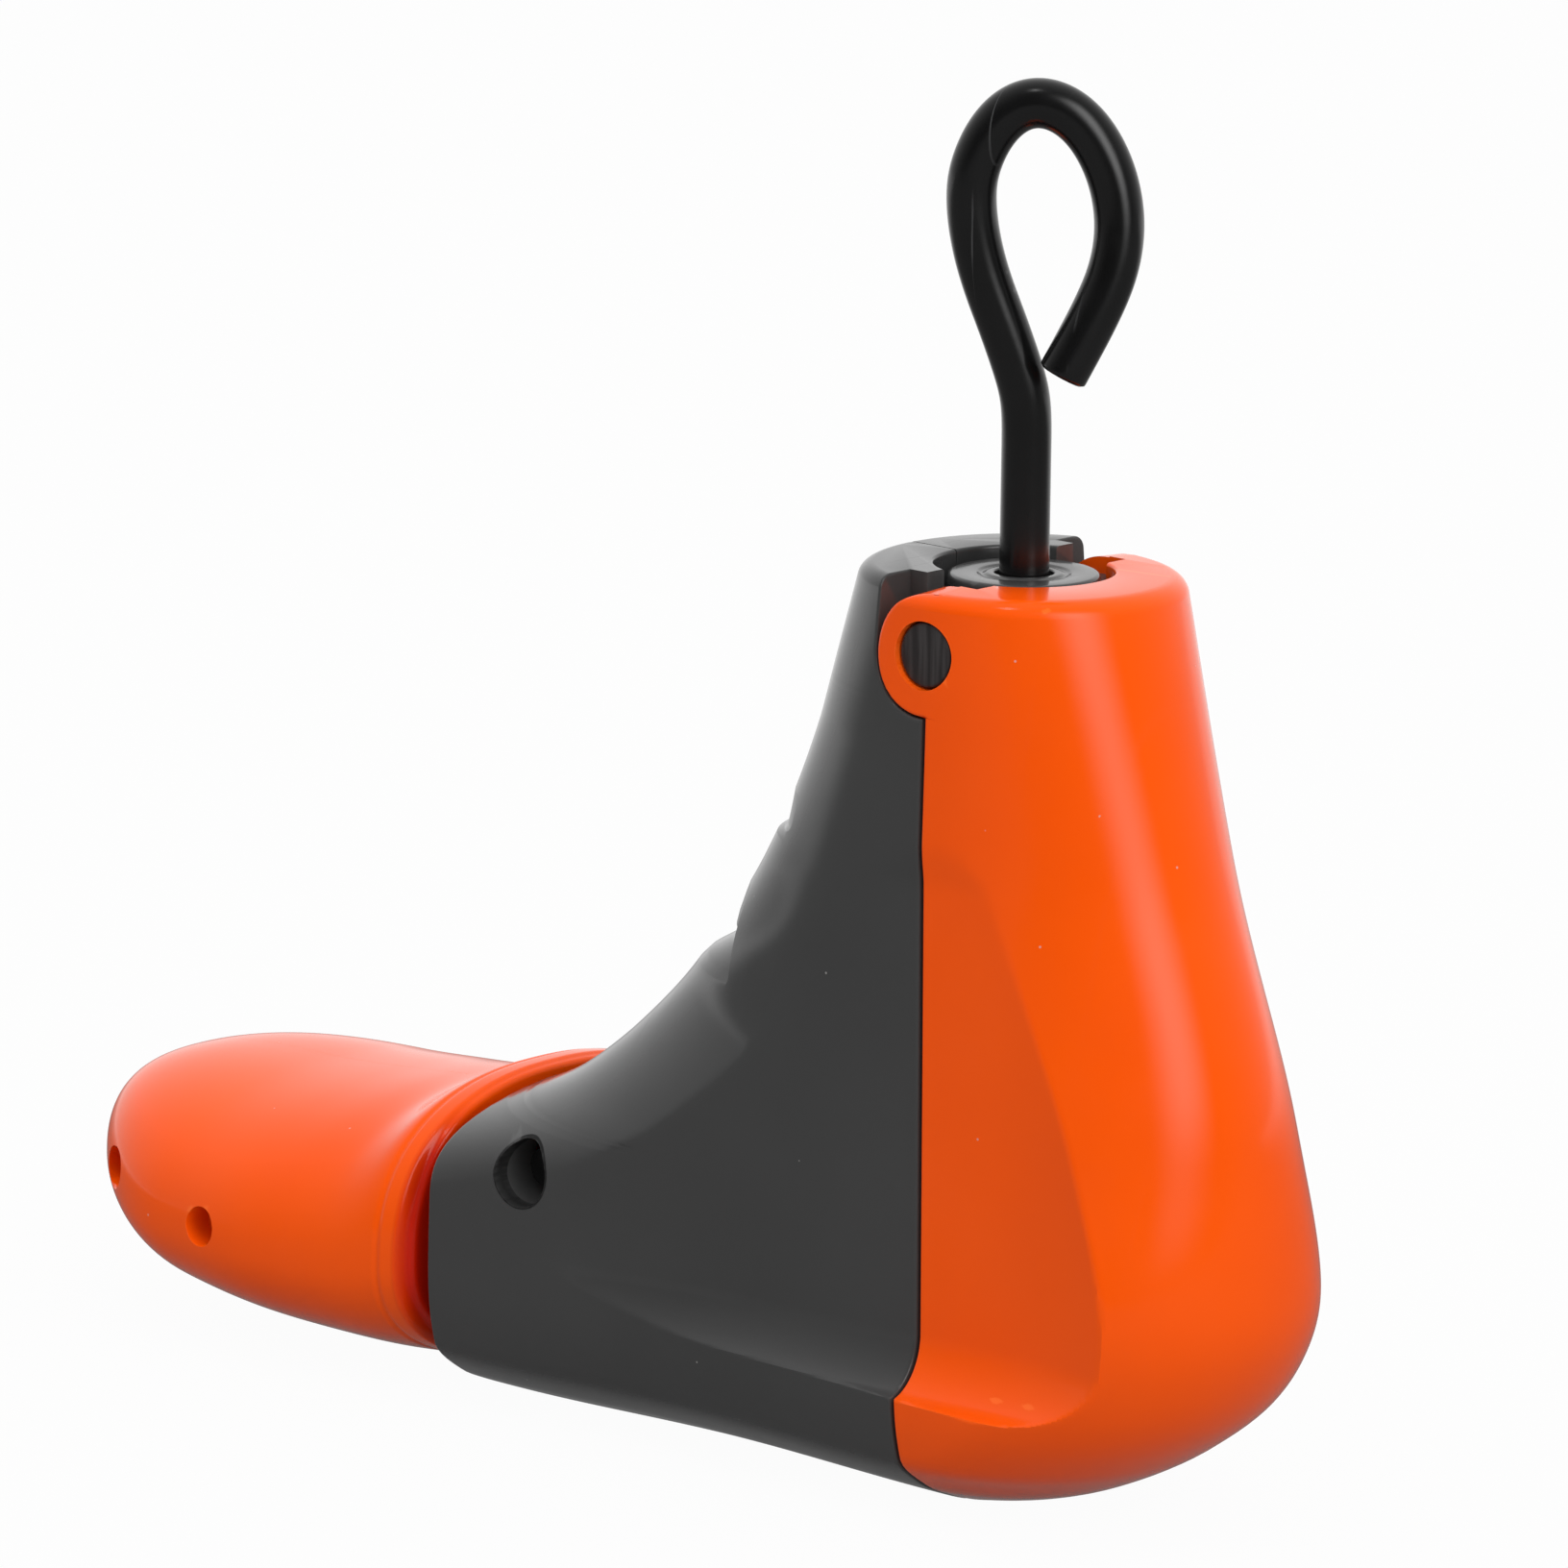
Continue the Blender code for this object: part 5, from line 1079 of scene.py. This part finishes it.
# %% Metals
def coated():
    """Black coating: satin gloss broken by cloudy wear, short scuffs and small chips."""
    paint = Finish("black_coating", IOR=1.5, Specular_IOR_Level=0.55)
    cloud = paint.noise(60, 4)
    scuff = paint.times(paint.scratches((0.1, 0.2, 1.2), 0.66), paint.band(paint.noise(45, 2), 0.5, 0.6))
    chips = paint.specks(330, 0.2, 0.06)
    colour = paint.blend(paint.band(cloud, 0.35, 0.65), (0.003, 0.003, 0.003), (0.005, 0.005, 0.0052))
    bare = paint.plus(paint.times(scuff, 0.5), paint.times(chips, 0.35))
    colour = paint.blend(bare, colour, (0.16, 0.16, 0.165))
    paint.feed("Base Color", colour)
    paint.feed("Roughness", paint.plus(paint.band(cloud, 0.3, 0.7, 0.16, 0.26), paint.times(scuff, 0.3)))
    grain = paint.bump(paint.noise(900, 3), 0.00003, 0.25)
    paint.feed("Normal", paint.bump(paint.plus(scuff, chips), 0.00003, 0.3, grain))
    return paint.made


def blackened():
    """Blackened pin ends: a brown-black face with straight saw grain and bright flecks."""
    paint = Finish("blackened_pin", IOR=1.5, Specular_IOR_Level=0.25)
    saw = paint.noise(1100, 3, (1, 1, 0.05), (0, 0.12, 0))
    flecks = paint.specks(900, 0.22, 0.05)
    colour = paint.blend(paint.band(saw, 0.4, 0.62), (0.022, 0.019, 0.019), (0.045, 0.04, 0.04))
    colour = paint.blend(paint.times(flecks, 0.7), colour, (0.5, 0.48, 0.47))
    paint.feed("Base Color", colour)
    paint.feed("Roughness", paint.band(saw, 0.35, 0.7, 0.3, 0.45))
    paint.feed("Normal", paint.bump(saw, 0.00004, 0.4))
    return paint.made


def plated():
    """Plated steel: metal with turned grain, cloudy tarnish and dull spots."""
    paint = Finish("plated_steel", Metallic=1.0)
    grain = paint.noise(1600, 2, (0.06, 1, 1))
    tarnish = paint.band(paint.noise(90, 4), 0.45, 0.7)
    spots = paint.specks(260, 0.25, 0.1)
    colour = paint.blend(tarnish, (0.6, 0.6, 0.61), (0.42, 0.41, 0.39))
    paint.feed("Base Color", paint.blend(paint.times(spots, 0.5), colour, (0.25, 0.23, 0.2)))
    paint.feed("Roughness", paint.plus(paint.band(grain, 0.3, 0.7, 0.24, 0.4), paint.times(tarnish, 0.12)))
    paint.feed("Normal", paint.bump(grain, 0.00003, 0.35))
    return paint.made


# %% Give every piece its finish
finishes.update(black=coated(), pin=blackened(), steel=plated())
slots = {part["node"]: part["material_slot"] for part in frame["record"]["subparts"]}
slots["cross_pin"] = "black"  # coated like the rod, so that it doesn't glint in its dark hole
for thing in [thing for thing in bpy.data.objects if thing.type == "MESH"]:
    kind = slots.get(thing.name) or thing.get("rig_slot")
    thing.data.materials.clear()
    thing.data.materials.append(finishes[kind])
    print(f"{thing.name}: {kind}")

# %% [markdown]
# ## Floor, studio light and background
#
# The picture was taken on white, with a broad soft light.  The white is painted, not lit: the floor and
# the world show white to the camera's rays.  A white floor that was really lit would throw too much
# light back onto the mouldings' undersides, so for diffuse light the floor is grey.  Rays that reflect
# off the gloss see a studio: a floor that is dark near the viewer and bright further back, and round it
# a white card behind the object that fades to a dark room on the viewer's side.  That is why the tops
# of the mouldings shine and their facing sides stay deep in colour.

# %% Floor
AZIMUTH, PITCH = math.radians(222.5), math.radians(12.4)  # where the camera stands, as the views count
BEYOND = (-math.sin(AZIMUTH), math.cos(AZIMUTH), 0)  # the level direction away from the camera
bpy.ops.mesh.primitive_plane_add(size=16, location=(0, 0, -0.0004))
floor = bpy.context.object
floor.name = "floor"
ground = Finish("white_floor", Specular_IOR_Level=0.1, Roughness=0.7)
cloud = ground.band(ground.noise(3, 2), 0.3, 0.7)
ground.feed("Base Color", ground.blend(cloud, (0.41, 0.41, 0.41), (0.43, 0.43, 0.43)))
ray = ground.add("ShaderNodeLightPath").outputs
white = ground.add("ShaderNodeEmission", {"Color": (1, 1, 1, 1), "Strength": 1.0})
bounced = ground.add("ShaderNodeMath", {0: ray["Is Glossy Ray"], 1: ray["Is Transmission Ray"]},
                     operation="MAXIMUM").outputs[0]
further = ground.add("ShaderNodeVectorMath", {0: ground.place, 1: BEYOND}, operation="DOT_PRODUCT")
gleam = ground.band(further.outputs["Value"], 0.2, 0.7, 0.2, 1.0)
dim = ground.add("ShaderNodeEmission", {"Color": (1, 1, 1, 1), "Strength": gleam})
shaded = ground.add("ShaderNodeMixShader", {0: bounced, 1: ground.shader.outputs[0], 2: dim.outputs[0]})
seen = ground.times(ray["Is Camera Ray"], 0.965)  # the rest lets the object's soft shadow show
mixed = ground.add("ShaderNodeMixShader", {0: seen, 1: shaded.outputs[0], 2: white.outputs[0]})
ground.tree.links.new(mixed.outputs[0], ground.tree.nodes["Material Output"].inputs["Surface"])
floor.data.materials.append(ground.made)
print("floor", round(floor.dimensions.x, 1), "m wide, at z =", round(floor.location.z * 1000, 1), "mm")

# %% World
world = bpy.data.worlds.new("studio")
bpy.context.scene.world = world
world.use_nodes = True
air = world.node_tree
air.nodes.clear()


def sky(kind, inputs=(), output=0, **settings):
    """Makes a node of the world and gives one of its outputs."""
    return add_node(air, kind, inputs, **settings).outputs[output]


direction = sky("ShaderNodeTexCoord")
behind = sky("ShaderNodeVectorMath", {0: direction, 1: (*BEYOND[:2], 0.05)}, "Value", operation="DOT_PRODUCT")
turned = sky("ShaderNodeMapRange", {0: behind, 1: -0.75, 2: 1.0, 3: 0.0, 4: 1.0})
steep = sky("ShaderNodeMath", {0: turned, 1: 1.5}, operation="POWER")
card = sky("ShaderNodeMapRange", {0: steep, 1: 0.0, 2: 1.0, 3: 0.02, 4: 1.0})
height = sky("ShaderNodeSeparateXYZ", {0: direction}, 2)
soft = sky("ShaderNodeMapRange", {0: height, 1: 0.0, 2: 1.0, 3: 0.36, 4: 1.65})
reflected, diffuse, plain = (sky("ShaderNodeBackground", {0: tone}) for tone in (card, soft, (1, 1, 1, 1)))
ray = add_node(air, "ShaderNodeLightPath").outputs
bounced = sky("ShaderNodeMath", {0: ray["Is Glossy Ray"], 1: ray["Is Transmission Ray"]}, operation="MAXIMUM")
lit = sky("ShaderNodeMixShader", {0: bounced, 1: diffuse, 2: reflected})
shown = sky("ShaderNodeMixShader", {0: ray["Is Camera Ray"], 1: lit, 2: plain})
add_node(air, "ShaderNodeOutputWorld", {"Surface": shown})
print("world:", len(air.nodes), "nodes")

# %% [markdown]
# ## Lamps
#
# Two softboxes model the forms: a large one up on the camera's right gives the long soft highlights, and
# a small one overhead lights the tops.  More light on the front would wash the deep colour out.

# %% Lamps
LAMPS_AIM = (-0.03, 0, 0.08)


def softbox(name, azimuth, height, distance, size, power, fade):
    """An area lamp at an azimuth (0 is in front of -Y, as the views count) aimed at the object.

    Real softboxes fade towards their rims.  So across and along, the lamp's strength rises by a smooth step
    from nothing at the rim to all at a fade's distance (0.5 is the middle), and the two are multiplied.
    """
    a = math.radians(azimuth)
    data = bpy.data.lights.new(name, "AREA")
    data.shape, data.size, data.size_y, data.energy = "RECTANGLE", size[0], size[1], power
    data.use_nodes = True
    tree = data.node_tree
    spot = add_node(tree, "ShaderNodeNewGeometry").outputs["Parametric"]
    place = add_node(tree, "ShaderNodeSeparateXYZ", {0: spot}).outputs
    fades = []
    for axis in (0, 1):
        rim = add_node(tree, "ShaderNodeMath", {0: place[axis], 1: 0.5}, operation="PINGPONG").outputs[0]
        rise = add_node(tree, "ShaderNodeMapRange", {0: rim, 2: fade[axis]}, interpolation_type="SMOOTHSTEP")
        fades.append(rise.outputs[0])
    strength = add_node(tree, "ShaderNodeMath", {0: fades[0], 1: fades[1]}, operation="MULTIPLY").outputs[0]
    tree.links.new(strength, tree.nodes["Emission"].inputs["Strength"])
    lamp = bpy.data.objects.new(name, data)
    bpy.context.scene.collection.objects.link(lamp)
    lamp.location = Vector((math.sin(a) * distance, -math.cos(a) * distance, height))
    lamp.rotation_euler = (Vector(LAMPS_AIM) - lamp.location).to_track_quat("-Z", "Y").to_euler()
    print(name, "at", [round(v, 2) for v in lamp.location])


softbox("key_softbox", azimuth=257, height=0.9, distance=1.5, size=(1.5, 2.0), power=34, fade=(0.5, 0.35))
softbox("top_softbox", azimuth=200, height=1.9, distance=0.7, size=(0.35, 0.35), power=2.5, fade=(0.5, 0.3))

# %% [markdown]
# ## Camera
#
# A long lens from the heel's left, looking a little down.  The angles and the focal length in pixels
# come from lining up the model with the photograph.  The camera could be placed by eye; here one point
# fixes the framing: the middle of the collar's top has to fall on a given pixel from a given distance,
# so no shift is needed.

# %% Camera
FOCAL, FRAME_SIZE, ROLL = 9725.8, 1632, math.radians(0.70)
ANCHOR_PIXEL, ANCHOR_HEIGHT, CAMERA_DISTANCE = (1066, 595), 0.1412, 1.4
back_way = Vector((-BEYOND[0] * math.cos(PITCH), -BEYOND[1] * math.cos(PITCH), math.sin(PITCH)))
right = (-back_way).cross(Vector((0, 0, 1))).normalized()
up = right.cross(-back_way)
right, up = right * math.cos(ROLL) + up * math.sin(ROLL), up * math.cos(ROLL) - right * math.sin(ROLL)
anchor = Vector((SPINDLE_X * 0.001, 0, ANCHOR_HEIGHT))
across, down = ((pixel - FRAME_SIZE / 2) / FOCAL for pixel in ANCHOR_PIXEL)
ray_way = -back_way + right * across - up * down
camera = bpy.data.objects.new("camera", bpy.data.cameras.new("camera"))
bpy.context.scene.collection.objects.link(camera)
camera.data.sensor_width = 36
camera.data.lens = 36 * FOCAL / FRAME_SIZE
camera.data.clip_start, camera.data.clip_end = 0.05, 60
camera.location = anchor - ray_way * CAMERA_DISTANCE
camera.rotation_euler = Matrix((right, up, back_way)).transposed().to_euler()
bpy.context.scene.camera = camera
bpy.context.scene.view_settings.view_transform = "Standard"
print("camera at", [round(v, 3) for v in camera.location], "lens", round(camera.data.lens, 1), "mm")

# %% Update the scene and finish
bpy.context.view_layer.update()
